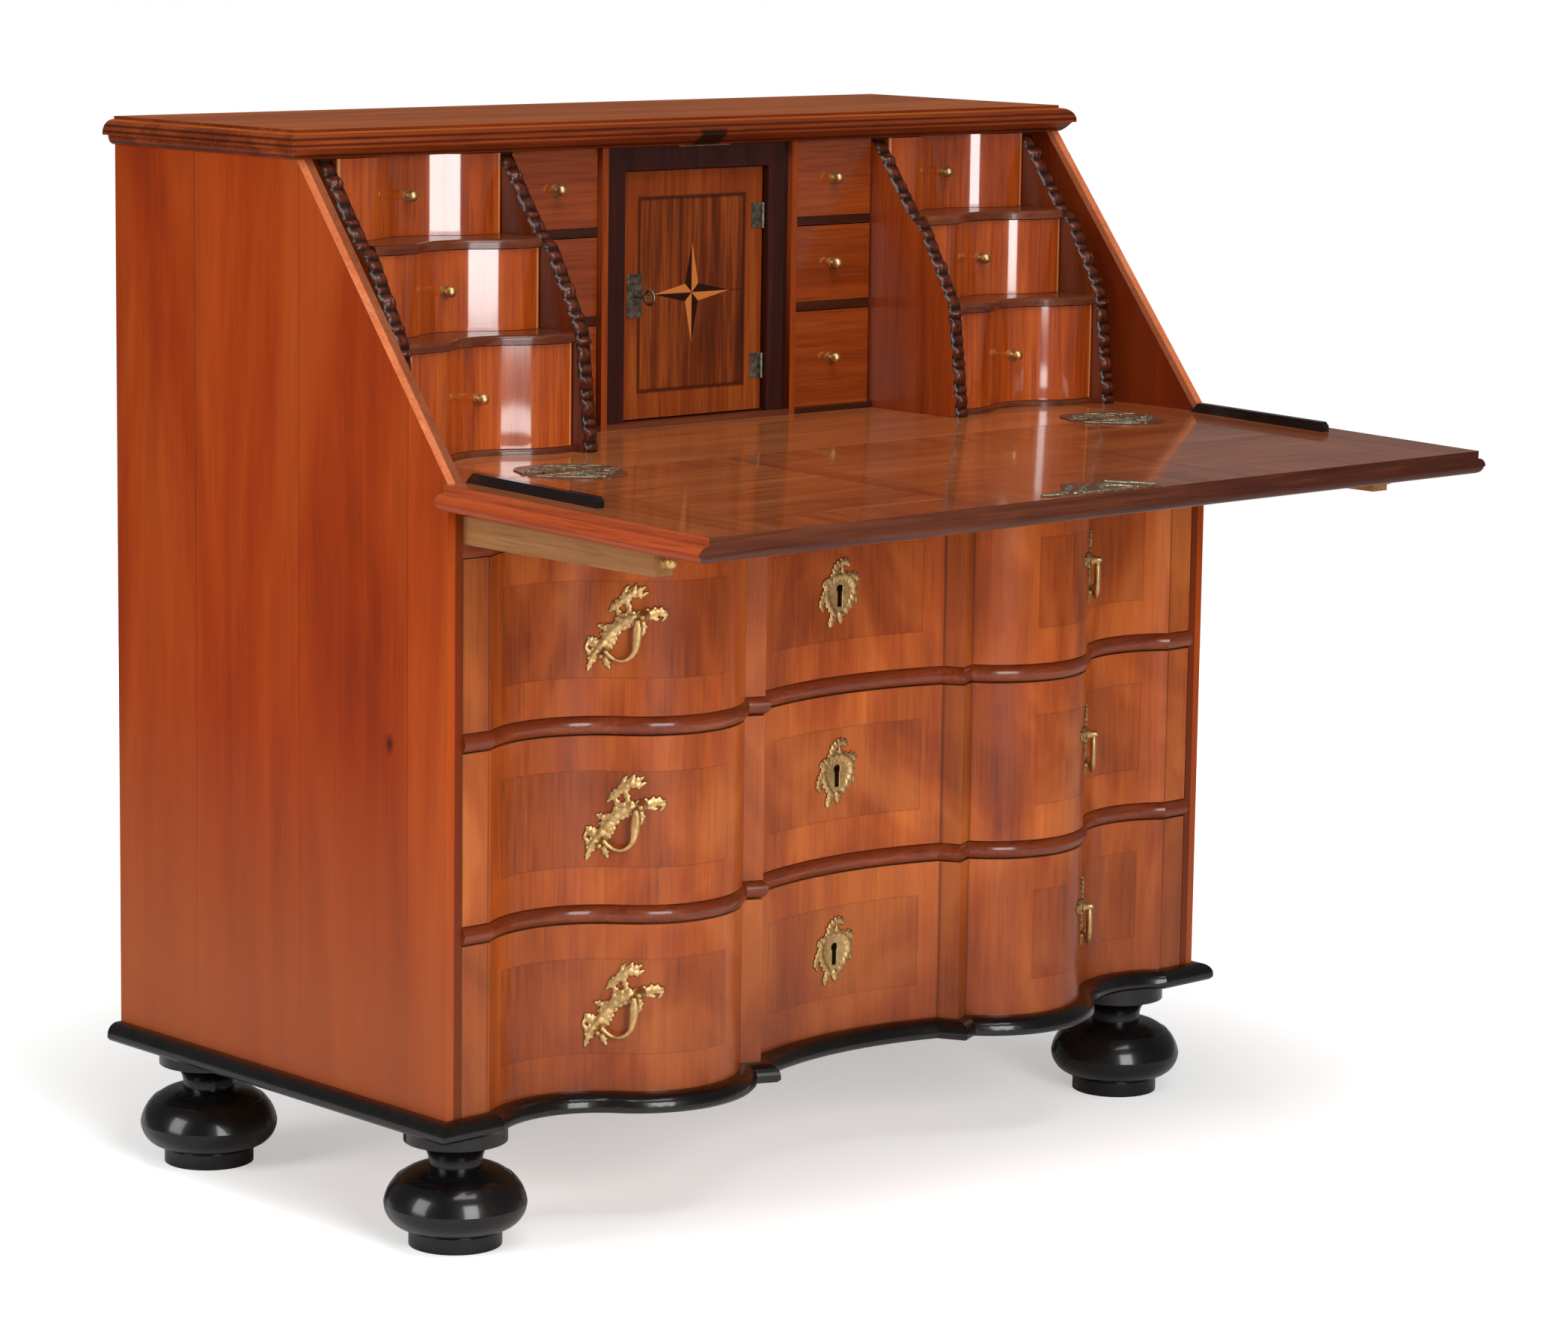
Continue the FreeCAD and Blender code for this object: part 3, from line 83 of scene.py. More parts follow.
# Camera, light and floor
def set_camera():
    """The photograph's own camera."""
    yaw, pitch, roll = CAMERA_TURN
    forward = Vector((math.sin(yaw) * math.cos(pitch), math.cos(yaw) * math.cos(pitch), math.sin(pitch)))
    right = Vector((math.cos(yaw), -math.sin(yaw), 0))
    up = right.cross(forward)
    across = right * math.cos(roll) + up * math.sin(roll)
    upward = up * math.cos(roll) - right * math.sin(roll)
    data = bpy.data.cameras.new("camera")
    data.sensor_fit = "HORIZONTAL"
    data.sensor_width = SENSOR_WIDTH
    data.lens = SENSOR_WIDTH * FOCAL_LENGTH / IMAGE_WIDTH
    data.shift_x = (IMAGE_WIDTH / 2 - IMAGE_MIDDLE[0]) / IMAGE_WIDTH
    data.shift_y = (IMAGE_MIDDLE[1] - IMAGE_HEIGHT / 2) / IMAGE_WIDTH
    camera = bpy.data.objects.new("camera", data)
    scene.collection.objects.link(camera)
    turn = Matrix((across, upward, -forward)).transposed().to_4x4()
    turn.translation = CAMERA_PLACE
    camera.matrix_world = turn
    scene.camera = camera


def area_light(name, place, target, size, power):
    """One soft light that faces its target."""
    data = bpy.data.lights.new(name, "AREA")
    data.shape = "RECTANGLE"
    data.size, data.size_y = size
    data.energy = power
    lamp = bpy.data.objects.new(name, data)
    scene.collection.objects.link(lamp)
    lamp.location = place
    aim = Vector(target) - Vector(place)
    lamp.rotation_euler = aim.to_track_quat("-Z", "Y").to_euler()


def set_light():
    """A white studio: a faint world, plain white behind the part, and three soft lights."""
    world = bpy.data.worlds.new("studio")
    world.use_nodes = True
    scene.world = world
    tree = world.node_tree
    back = tree.nodes["Background"]
    back.inputs["Color"].default_value = (1, 1, 1, 1)
    seen = tree.nodes.new("ShaderNodeLightPath")
    level = tree.nodes.new("ShaderNodeMapRange")
    level.inputs["To Min"].default_value = WORLD_LIGHT
    level.inputs["To Max"].default_value = WORLD_SEEN
    tree.links.new(seen.outputs["Is Camera Ray"], level.inputs["Value"])
    tree.links.new(level.outputs["Result"], back.inputs["Strength"])
    for light in LIGHTS:
        area_light(*light)


def set_floor():
    """Pale paper that fades into the white behind the part: it glows to the camera only, as painted light, less
    near the part and more further off.
    """
    bpy.ops.mesh.primitive_circle_add(vertices=96, radius=FLOOR_RADIUS, fill_type="NGON", location=(0, 0, 0))
    floor = bpy.context.object
    floor.name = "floor"
    paint = Paint("floor_paper")
    speck = paint.noise(90, detail=3)
    paint.set("Base Color", paint.ramp(speck, PAPER_STOPS))
    paint.set("Roughness", 0.9)
    paint.set("Emission Color", (1, 1, 1, 1))
    away = paint.math("SQRT", paint.plus(paint.times(paint.x, paint.x), paint.times(paint.y, paint.y)))
    # Painted light: the paper's glow, seen by the camera only, rises with distance from the part.
    glow = paint.fade(away, 0.55, 1.7, 0.44, 0.95)
    seen = paint.add("ShaderNodeLightPath", {}).outputs["Is Camera Ray"]
    paint.set("Emission Strength", paint.times(glow, seen))
    floor.data.materials.append(paint.material)


# Materials. Wood is streaks, fibres, pores and clouds, stretched along the grain.
FIBRE_SCALE, PORE_SCALE, CLOUD_SCALE = 190, 520, 7
STREAK_STRETCH, PORE_STRETCH, CLOUD_STRETCH = 0.045, 0.03, 0.22
FIBRE_SHARE = 0.38


def tone(colour):
    """Display colour, 0 to 255, as the linear colour that a shader takes."""
    parts = [part / 255 for part in colour]
    return tuple(p / 12.92 if p <= 0.04045 else ((p + 0.055) / 1.055) ** 2.4 for p in parts) + (1.0,)


class Paint:
    """A procedural material. Each method adds nodes and gives back an output."""

    def __init__(self, name):
        self.material = bpy.data.materials.new(name)
        self.material.use_nodes = True
        self.tree = self.material.node_tree
        self.shader = self.tree.nodes["Principled BSDF"]
        coordinates = self.tree.nodes.new("ShaderNodeTexCoord")
        self.place = coordinates.outputs["Object"]
        self.x, self.y, self.z = self.add("ShaderNodeSeparateXYZ", {0: self.place}).outputs
        self.facing = self.add("ShaderNodeSeparateXYZ", {0: coordinates.outputs["Normal"]}).outputs

    def add(self, kind, inputs, **settings):
        node = self.tree.nodes.new(kind)
        for key, value in settings.items():
            setattr(node, key, value)
        for key, value in inputs.items():
            self.feed(node.inputs[key], value)
        return node

    def feed(self, socket, value):
        if isinstance(value, bpy.types.NodeSocket):
            self.tree.links.new(value, socket)
        else:
            socket.default_value = value

    def set(self, name, value):
        self.feed(self.shader.inputs[name], value)

    def math(self, operation, first, second=0.0):
        return self.add("ShaderNodeMath", {0: first, 1: second}, operation=operation).outputs[0]

    def fold(self, operation, values):
        result = values[0]
        for value in values[1:]:
            result = self.math(operation, result, value)
        return result

    def times(self, *values):
        return self.fold("MULTIPLY", values)

    def plus(self, *values):
        return self.fold("ADD", values)

    def either(self, *values):
        return self.fold("MAXIMUM", values)

    def away(self, value, middle=0.0):
        return self.math("ABSOLUTE", self.math("SUBTRACT", value, middle))

    def fade(self, value, start, end, low, high):
        """From low where value is at start to high where it is at end, and level beyond both."""
        inputs = {"Value": value, "From Min": start, "From Max": end, "To Min": low, "To Max": high}
        return self.add("ShaderNodeMapRange", inputs).outputs[0]

    def over(self, value, edge, soft=0.0004):
        """1 where value is above edge, with a soft rise."""
        return self.fade(value, edge - soft, edge + soft, 0.0, 1.0)

    def under(self, value, edge, soft=0.0004):
        """1 where value is below edge, with a soft rise."""
        return self.over(self.math("MULTIPLY", value, -1.0), -edge, soft)

    def between(self, value, low, high, soft=0.0004):
        return self.math("SUBTRACT", self.over(value, low, soft), self.over(value, high, soft))

    def line(self, value, place, width=0.0012):
        return self.between(value, place - width / 2, place + width / 2, width / 4)

    def lines(self, value, places, width=0.0012):
        return self.either(*[self.line(value, place, width) for place in places])

    def spot(self, stretch, shift):
        moved = self.add("ShaderNodeVectorMath", {0: self.place, 1: shift}, operation="ADD").outputs[0]
        return self.add("ShaderNodeVectorMath", {0: moved, 1: stretch}, operation="MULTIPLY").outputs[0]

    def hollow(self):
        """How deep a place of a cast or carved piece lies, from 0 to 1."""
        return self.add("ShaderNodeAttribute", {}, attribute_name="hollow").outputs["Fac"]

    def noise(self, scale, stretch=(1, 1, 1), shift=(0, 0, 0), detail=4, roughness=0.55, distortion=0.0):
        inputs = {"Vector": self.spot(stretch, shift), "Scale": scale, "Detail": detail,
                  "Roughness": roughness, "Distortion": distortion}
        return self.add("ShaderNodeTexNoise", inputs).outputs["Fac"]

    def ramp(self, value, stops):
        node = self.add("ShaderNodeValToRGB", {0: value})
        marks = node.color_ramp.elements
        while len(marks) < len(stops):
            marks.new(0.5)
        for mark, (place, colour) in zip(marks, stops):
            mark.position = place
            mark.color = tone(colour)
        return node.outputs[0]

    def mix(self, share, first, second):
        return self.add("ShaderNodeMix", {0: share, 6: first, 7: second}, data_type="RGBA").outputs[2]

    def stain(self, colour, mask, share, shade):
        """A colour with a share of a shade over it where mask is 1."""
        return self.mix(self.times(mask, share), colour, shade)

    def bump(self, height, strength, distance):
        inputs = {"Height": height, "Strength": strength, "Distance": distance}
        self.set("Normal", self.add("ShaderNodeBump", inputs).outputs[0])

    def wood(self, axis, stops, shift=(0, 0, 0), coarse=30, figure=0.35, pores=0.35):
        """Wood colour with the grain along an axis, and the fibre that goes with it."""
        def along(stretch):
            return [stretch if number == axis else 1.0 for number in range(3)]
        streak = self.noise(coarse, along(STREAK_STRETCH), shift, 3, 0.5, 0.5)
        fibre = self.noise(FIBRE_SCALE, along(STREAK_STRETCH), shift, 5, 0.65)
        pore = self.noise(PORE_SCALE, along(PORE_STRETCH), shift, 2, 0.5)
        cloud = self.noise(CLOUD_SCALE, along(CLOUD_STRETCH), shift, 3, 0.6, 1.2)
        value = self.plus(self.times(streak, 1 - FIBRE_SHARE - figure / 2), self.times(fibre, FIBRE_SHARE),
                          self.times(cloud, figure / 2))
        colour = self.ramp(value, stops)
        dark = self.times(self.over(pore, 0.60, 0.06), pores)
        return self.mix(dark, colour, self.mix(0.75, colour, tone((30, 12, 5)))), fibre

    def varnish(self, colour, fibre, roughness, coat, coat_roughness, bump=0.12, specular=0.2):
        """Sets a colour with polish over it, duller along the fibres, and gives back the material."""
        self.set("Base Color", colour)
        self.set("Specular IOR Level", specular)
        self.set("Roughness", self.fade(fibre, 0.0, 1.0, *roughness))
        self.set("Coat Weight", coat)
        self.set("Coat Roughness", coat_roughness)
        self.bump(fibre, bump, 0.0006)
        return self.material


# Colours of each surface, as (place on a ramp, display colour)
PAPER_STOPS = [(0.0, (236, 236, 235)), (1.0, (244, 244, 243))]
CASE_STOPS = [(0.3, (112, 32, 5)), (0.46, (150, 50, 9)), (0.6, (168, 62, 13)), (0.76, (188, 84, 24))]
SIDE_CLOUD_STOPS = [(0.36, (122, 36, 6)), (0.5, (162, 60, 13)), (0.64, (192, 90, 30))]
SIDE_EDGE_STOPS = [(0.3, (168, 84, 48)), (0.5, (190, 104, 64)), (0.7, (206, 126, 84))]
TOP_STOPS = [(0.3, (124, 54, 14)), (0.48, (160, 78, 22)), (0.6, (180, 94, 32)), (0.75, (200, 116, 46))]
TOP_SHADED_EDGE_STOPS = [(0.3, (76, 27, 9)), (0.48, (116, 47, 18)), (0.62, (144, 64, 27)), (0.75, (168, 86, 42))]
BLACK_STOPS = [(0.3, (9, 8, 8)), (0.6, (17, 15, 14)), (0.78, (40, 30, 24))]
BAND_STOPS = [(0.3, (126, 48, 12)), (0.47, (168, 74, 20)), (0.6, (190, 93, 28)), (0.76, (210, 120, 46))]
PANEL_STOPS = [(0.3, (94, 32, 9)), (0.45, (144, 62, 16)), (0.58, (172, 82, 24)), (0.76, (198, 108, 40))]
PALE_STOPS = [(0.3, (138, 62, 22)), (0.5, (166, 84, 32)), (0.7, (188, 110, 50))]
DRAWER_CLOUD_STOPS = [(0.36, (92, 32, 10)), (0.5, (160, 72, 26)), (0.64, (208, 116, 54))]
RAIL_STOPS = [(0.3, (84, 30, 12)), (0.5, (120, 50, 22)), (0.7, (148, 72, 34))]
SHELF_STOPS = [(0.3, (58, 22, 12)), (0.5, (88, 40, 22)), (0.7, (122, 66, 40))]
SURROUND_STOPS = [(0.3, (26, 8, 5)), (0.5, (46, 15, 9)), (0.7, (70, 26, 16))]
GALLERY_STOPS = [(0.3, (104, 36, 8)), (0.48, (146, 58, 14)), (0.62, (168, 74, 20)), (0.75, (186, 92, 32))]
CARVED_STOPS = [(0.35, (52, 20, 10)), (0.7, (96, 42, 22))]
STACK_STOPS = [(0.3, (100, 34, 8)), (0.48, (152, 62, 16)), (0.6, (174, 80, 24)), (0.75, (192, 100, 38))]
INNER_STOPS = [(0.3, (84, 30, 8)), (0.48, (122, 50, 14)), (0.6, (140, 62, 20)), (0.75, (160, 80, 32))]
DOOR_STOPS = [(0.32, (40, 13, 5)), (0.46, (92, 38, 12)), (0.57, (132, 62, 22)), (0.72, (170, 94, 42))]
DOOR_BORDER_STOPS = [(0.3, (82, 30, 8)), (0.5, (122, 52, 15)), (0.7, (152, 80, 30))]
DESK_STOPS = [(0.3, (92, 40, 19)), (0.46, (136, 69, 34)), (0.6, (165, 92, 49)), (0.75, (188, 118, 69))]
FIXED_DESK_STOPS = [(0.3, (112, 56, 28)), (0.46, (157, 87, 46)), (0.6, (185, 112, 64)),
                    (0.75, (204, 136, 84))]
DESK_BORDER_STOPS = [(0.3, (98, 42, 20)), (0.5, (142, 74, 38)), (0.7, (168, 100, 58))]
FLAP_RIM_STOPS = [(0.3, (110, 38, 16)), (0.5, (154, 64, 30)), (0.7, (184, 92, 52))]
FLAP_FRONT_EDGE_STOPS = [(0.3, (40, 18, 12)), (0.5, (70, 32, 20)), (0.7, (104, 56, 36))]
LOPER_STOPS = [(0.3, (124, 80, 44)), (0.5, (160, 110, 66)), (0.7, (184, 138, 92))]
PLAIN_STOPS = [(0.3, (128, 82, 48)), (0.5, (158, 108, 68)), (0.7, (182, 136, 94))]
BRASS_STOPS = [(0.3, (158, 118, 72)), (0.5, (200, 162, 108)), (0.72, (228, 198, 148))]
KEYHOLE_SHADE_STOPS = [(0.35, (6, 4, 3)), (0.7, (20, 12, 7))]
IRON_STOPS = [(0.3, (58, 48, 38)), (0.52, (112, 104, 92)), (0.7, (150, 144, 130))]
SHADED_GROUND_STOPS = [(0.3, (70, 36, 22)), (0.52, (104, 60, 39)), (0.7, (134, 90, 62))]
LACE_STOPS = [(0.3, (96, 88, 66)), (0.52, (150, 144, 118)), (0.7, (188, 184, 160))]
DARK_LINE = tone((38, 14, 7))


def side_wood():
    """Solid boards, upright, jointed, with a knot and a paler slanted edge; a painted reflection of the floor low
    down, and painted shade on the inside faces.
    """
    paint = Paint("side_wood")
    colour, fibre = paint.wood(2, CASE_STOPS, (0.3, 0.1, 0.7), 26, 0.5, 0.3)
    inputs = {"Vector": paint.spot((1, 1, 0.11), (0.2, 0.35, 0.4)), "Scale": 7.0, "Distortion": 7.0,
              "Detail": 2.0, "Detail Scale": 1.4}
    arches = paint.add("ShaderNodeTexWave", inputs, bands_direction="Y").outputs["Fac"]
    colour = paint.stain(colour, paint.over(arches, 0.62, 0.3), 0.3, tone((118, 34, 6)))
    blotch = paint.noise(7.5, (1, 1, 0.16), (0.6, 0.3, 0.2), 3, 0.5, 0.8)
    cloudy = paint.ramp(blotch, SIDE_CLOUD_STOPS)
    colour = paint.mix(0.45, colour, cloudy)
    board = paint.plus(*[paint.times(paint.over(paint.y, place, 0.0003), share)
                         for place, share in zip(SIDE_JOINTS, SIDE_SHADES)])
    colour = paint.mix(paint.plus(board, 0.06), colour, tone((96, 28, 8)))
    seams = paint.lines(paint.y, SIDE_JOINTS, 0.0011)
    colour = paint.stain(colour, seams, 0.45, DARK_LINE)
    # Paler and hazier low down: a painted reflection of the white floor in the polish.
    colour = paint.mix(paint.fade(paint.z, 0.48, 0.22, 0.0, 0.5), colour, tone((160, 90, 54)))
    aside = paint.away(paint.y, FRONT + KNOT_DEPTH)
    above = paint.times(paint.away(paint.z, KNOT_LEVEL), 0.6)
    knot = paint.math("SQRT", paint.plus(paint.math("POWER", aside, 2.0), paint.math("POWER", above, 2.0)))
    knot = paint.math("SUBTRACT", 1.0, paint.over(knot, KNOT_RADIUS, 0.003))
    colour = paint.stain(colour, knot, 0.85, tone((44, 14, 6)))
    edge = paint.times(paint.under(paint.facing[1], -0.4, 0.05), paint.over(paint.facing[2], 0.3, 0.05))
    pale = paint.wood(2, SIDE_EDGE_STOPS)[0]
    colour = paint.mix(edge, colour, pale)
    # Darker on the inside faces of the sides: painted shade.
    inside = paint.under(paint.away(paint.x), SIDE_INSIDE, 0.0005)
    colour = paint.stain(colour, inside, 0.62, tone((46, 17, 7)))
    return paint.varnish(colour, fibre, (0.36, 0.52), 0.09, 0.16, 0.12, 0.07)


def top_wood():
    """One board, with painted shade on its moulded edge and painted shadow in its quirks, and the worn strike of
    the flap's lock in the middle.
    """
    paint = Paint("top_wood")
    colour, fibre = paint.wood(0, TOP_STOPS, (0.9, 0.4, 0.2), 26, 0.5, 0.3)
    # Darker stops on every face that is not flat: painted shade on the moulded edge.
    edge = paint.wood(0, TOP_SHADED_EDGE_STOPS, (0.3, 0.4, 0.7), 30, 0.4, 0.3)[0]
    flat = paint.over(paint.facing[2], 0.9, 0.05)
    # Dark lines in the quirks of the moulding: painted shadow.
    quirk_shadows = paint.lines(paint.z, TOP_QUIRKS, 0.0024)
    edge = paint.stain(edge, quirk_shadows, 0.75, tone((34, 12, 6)))
    ragged = paint.plus(paint.times(paint.away(paint.x), -1.0), paint.times(paint.noise(160), 0.012))
    strike = paint.times(paint.over(ragged, -STRIKE_HALF, 0.003), paint.under(paint.z, STRIKE_LEVEL, 0.002))
    edge = paint.stain(edge, strike, 0.9, tone((20, 16, 12)))
    return paint.varnish(paint.mix(flat, edge, colour), fibre, (0.34, 0.48), 0.12, 0.16, 0.12, 0.06)


def plain_wood(name, axis, shift=(0, 0, 0), joints=()):
    """Unpolished softwood, in boards where joints gives the places across of its seams."""
    paint = Paint(name)
    colour, fibre = paint.wood(axis, PLAIN_STOPS, shift, 24, 0.45, 0.3)
    if joints:
        shades = [paint.times(paint.over(paint.x, place, 0.0003), 0.16 * (-1) ** number)
                  for number, place in enumerate(joints)]
        colour = paint.mix(paint.plus(0.05, *shades), colour, tone((112, 72, 42)))
        seams = paint.lines(paint.x, joints, 0.0022)
        colour = paint.stain(colour, seams, 0.8, tone((34, 20, 12)))
    return paint.varnish(colour, fibre, (0.55, 0.75), 0.0, 0.3, 0.25)


def loper_wood():
    """Plain bars, each with a brass knob on its end."""
    paint = Paint("loper_wood")
    colour, fibre = paint.wood(1, LOPER_STOPS, (0.7, 0.1, 0.6), 24, 0.45, 0.3)
    knob = paint.under(paint.y, FRONT - LOPER_END, 0.0002)
    paint.varnish(paint.mix(knob, colour, tone((214, 176, 112))), fibre, (0.42, 0.6), 0.0, 0.3, 0.2)
    paint.set("Metallic", knob)
    return paint.material


def rail_wood(name, stops, axis=0, coat=0.55, dark=None):
    """Narrow polished members with the grain along an axis, nearly black between the places across in dark."""
    paint = Paint(name)
    colour, fibre = paint.wood(axis, stops, (0.2, 0.6, 0.1), 34, 0.3, 0.3)
    if dark:
        inner = paint.between(paint.away(paint.x), *dark)
        colour = paint.stain(colour, inner, 0.75, tone((24, 9, 5)))
    return paint.varnish(colour, fibre, (0.28, 0.42), coat, 0.12, 0.1, 0.15)


def ebonised(name):
    """Black polish over wood, a little brown where it is thin."""
    paint = Paint(name)
    fibre = paint.noise(FIBRE_SCALE, (STREAK_STRETCH, 1, 1), (0.1, 0.2, 0.3), 5, 0.65)
    cloud = paint.noise(24, detail=5, roughness=0.7)
    colour = paint.ramp(cloud, BLACK_STOPS)
    dull = paint.plus(paint.times(fibre, 0.5), paint.times(cloud, 0.5))
    return paint.varnish(colour, dull, (0.16, 0.42), 0.5, 0.12, 0.06)


def keyhole_shade():
    """Painted shade for the inside of a keyhole: dull and nearly black."""
    paint = Paint("keyhole_shade")
    shade_mottle = paint.noise(420, detail=4)
    paint.set("Base Color", paint.ramp(shade_mottle, KEYHOLE_SHADE_STOPS))
    paint.set("Specular IOR Level", 0.04)
    paint.set("Roughness", 0.85)
    return paint.material


def drawer_veneer(storey, level):
    """Three framed panels on a serpentine front: the two bulges and the hollow centre."""
    paint = Paint("drawer_veneer_" + storey)
    across = paint.away(paint.x)
    up = paint.math("SUBTRACT", paint.z, level)
    seed = level * 3.7
    band, fibre = paint.wood(2, BAND_STOPS, (seed, 0.2, seed), 34, 0.3, 0.35)
    panel = paint.wood(2, PANEL_STOPS, (seed + 0.4, 0.5, 0.3), 26, 0.75, 0.45)[0]
    pale = paint.wood(2, PALE_STOPS, (seed, 0.9, 0.6), 40, 0.25, 0.3)[0]
    inside = paint.between(up, *PANEL_LEVELS)
    panels = paint.either(paint.under(across, CENTRE_PANEL), paint.between(across, *BULGE_PANEL))
    colour = paint.mix(paint.times(panels, inside), band, panel)
    strip = paint.either(paint.between(across, *COVE_STRIP), paint.over(across, END_STRIP))
    colour = paint.stain(colour, strip, 0.85, pale)
    blotch = paint.noise(6.5, (1, 1, 0.55), (seed + 0.23, 0.4, 0.55), 3, 0.5, 1.4)
    cloudy = paint.ramp(blotch, DRAWER_CLOUD_STOPS)
    colour = paint.mix(0.40, colour, cloudy)
    rows = paint.times(paint.lines(up, PANEL_LEVELS), panels)
    columns = paint.times(paint.lines(across, (CENTRE_PANEL, *BULGE_PANEL)), inside)
    joins = paint.lines(across, (*COVE_STRIP, END_STRIP), 0.0018)
    colour = paint.stain(colour, paint.either(rows, columns), 0.28, DARK_LINE)
    colour = paint.stain(colour, joins, 0.5, DARK_LINE)
    # Darker towards the bottom of the lowest drawer: painted shade.
    colour = paint.mix(paint.fade(paint.z, 0.34, 0.14, 0.0, 0.42), colour, tone((92, 42, 24)))
    lining = paint.wood(0, PLAIN_STOPS, (seed, 0.1, 0.2), 24, 0.4, 0.3)[0]
    show = paint.times(paint.under(paint.facing[1], -0.02, 0.02),
                       paint.under(paint.away(paint.facing[2]), 0.6, 0.05))
    return paint.varnish(paint.mix(show, lining, colour), fibre, (0.30, 0.46), 0.4, 0.16, 0.1, 0.1)


def small_veneer(name, stops, axis, depth, shift, lines=()):
    """A small drawer: polished front, with painted highlight lines where lines are given, and plain sides and
    bottom behind it.
    """
    paint = Paint(name)
    colour, fibre = paint.wood(axis, stops, shift, 40, 0.5, 0.35)
    if lines:
        # Pale lines at the given places across, the ends of the front: painted highlights.
        marks = paint.lines(paint.away(paint.x), lines, 0.0022)
        colour = paint.stain(colour, marks, 0.7, tone((206, 150, 100)))
    lining = paint.wood(1, PLAIN_STOPS, shift, 24, 0.4, 0.3)[0]
    behind = paint.over(paint.y, FRONT + depth, 0.0003)
    paint.varnish(paint.mix(behind, colour, lining), fibre, (0.24, 0.38), 0.85, 0.08, 0.06, 0.1)
    paint.set("Coat IOR", 1.85)
    return paint.material


def door_veneer():
    """Quartered panel in a crossbanded frame, with a four-point star let in at its middle."""
    paint = Paint("door_veneer")
    up = paint.math("SUBTRACT", paint.z, DOOR_MIDDLE)
    wide, high = DOOR_PANEL
    across, height = paint.away(paint.x), paint.away(up)
    panel, fibre = paint.wood(2, DOOR_STOPS, (0.2, 0.7, 0.1), 60, 0.6, 0.5)
    border = paint.wood(2, DOOR_BORDER_STOPS, (0.8, 0.1, 0.5), 34, 0.5, 0.35)[0]
    outside = paint.either(paint.over(across, wide), paint.over(height, high))
    colour = paint.mix(outside, panel, border)
    uprights = paint.times(paint.line(across, wide, DOOR_LINE), paint.under(height, high + DOOR_LINE / 2))
    levels = paint.times(paint.line(height, high, DOOR_LINE), paint.under(across, wide + DOOR_LINE / 2))
    lines = paint.either(uprights, levels)
    colour = paint.stain(colour, lines, 0.8, tone((44, 15, 8)))
    quarter = paint.times(paint.either(paint.line(across, 0.0, 0.001), paint.line(height, 0.0, 0.001)),
                          paint.math("SUBTRACT", 1.0, outside))
    colour = paint.stain(colour, quarter, 0.7, DARK_LINE)
    longer = paint.math("MAXIMUM", across, height)
    shorter = paint.math("MINIMUM", across, height)
    reach = paint.plus(longer, paint.times(shorter, (STAR_REACH - STAR_WAIST) / STAR_WAIST))
    star = paint.under(reach, STAR_REACH, 0.0005)
    side = paint.over(paint.times(paint.x, up), 0.0, 0.000001)
    level = paint.over(paint.math("SUBTRACT", across, height), 0.0, 0.0003)
    light = paint.away(side, level)
    inlay = paint.mix(light, tone((34, 13, 6)), tone((178, 104, 46)))
    colour = paint.mix(star, colour, inlay)
    return paint.varnish(colour, fibre, (0.28, 0.42), 0.3, 0.12, 0.1, 0.1)


def desk_veneer(name, moving):
    """The writing surface: wide polished leaves of veneer in crossbanded borders."""
    paint = Paint(name)
    across = paint.away(paint.x)
    field, fibre = paint.wood(0, DESK_STOPS if moving else FIXED_DESK_STOPS, (0.5, 0.3, 0.9), 24, 0.8, 0.4)
    border = paint.wood(1, DESK_BORDER_STOPS, (0.1, 0.9, 0.4), 34, 0.4, 0.35)[0]
    edges = paint.over(across, DESK_BORDER)
    lines = paint.line(across, DESK_BORDER)
    if moving:
        near = paint.math("SUBTRACT", paint.y, FRONT - FLAP_LIP)
        edges = paint.either(paint.under(near, FLAP_BORDERS[0]), paint.over(near, FLAP_BORDERS[1]),
                             edges, paint.between(across, *FLAP_LEAVES))
        lines = paint.either(lines, paint.lines(near, FLAP_BORDERS), paint.lines(across, FLAP_LEAVES))
    colour = paint.mix(edges, field, border)
    colour = paint.stain(colour, lines, 0.6, DARK_LINE)
    if moving:
        rim = paint.wood(1, FLAP_RIM_STOPS)[0]
        # The front edge takes darker stops than the side edges.
        front_edge = paint.wood(0, FLAP_FRONT_EDGE_STOPS)[0]
        rim = paint.mix(paint.under(paint.facing[1], -0.5, 0.1), rim, front_edge)
        level = paint.over(paint.away(paint.facing[2]), 0.985, 0.01)
        colour = paint.mix(level, rim, colour)
    paint.varnish(colour, fibre, (0.24, 0.38), 0.7, 0.07, 0.06, 0.12)
    if moving:
        paint.set("Coat Weight", paint.plus(paint.times(level, 0.55), 0.15))
    return paint.material


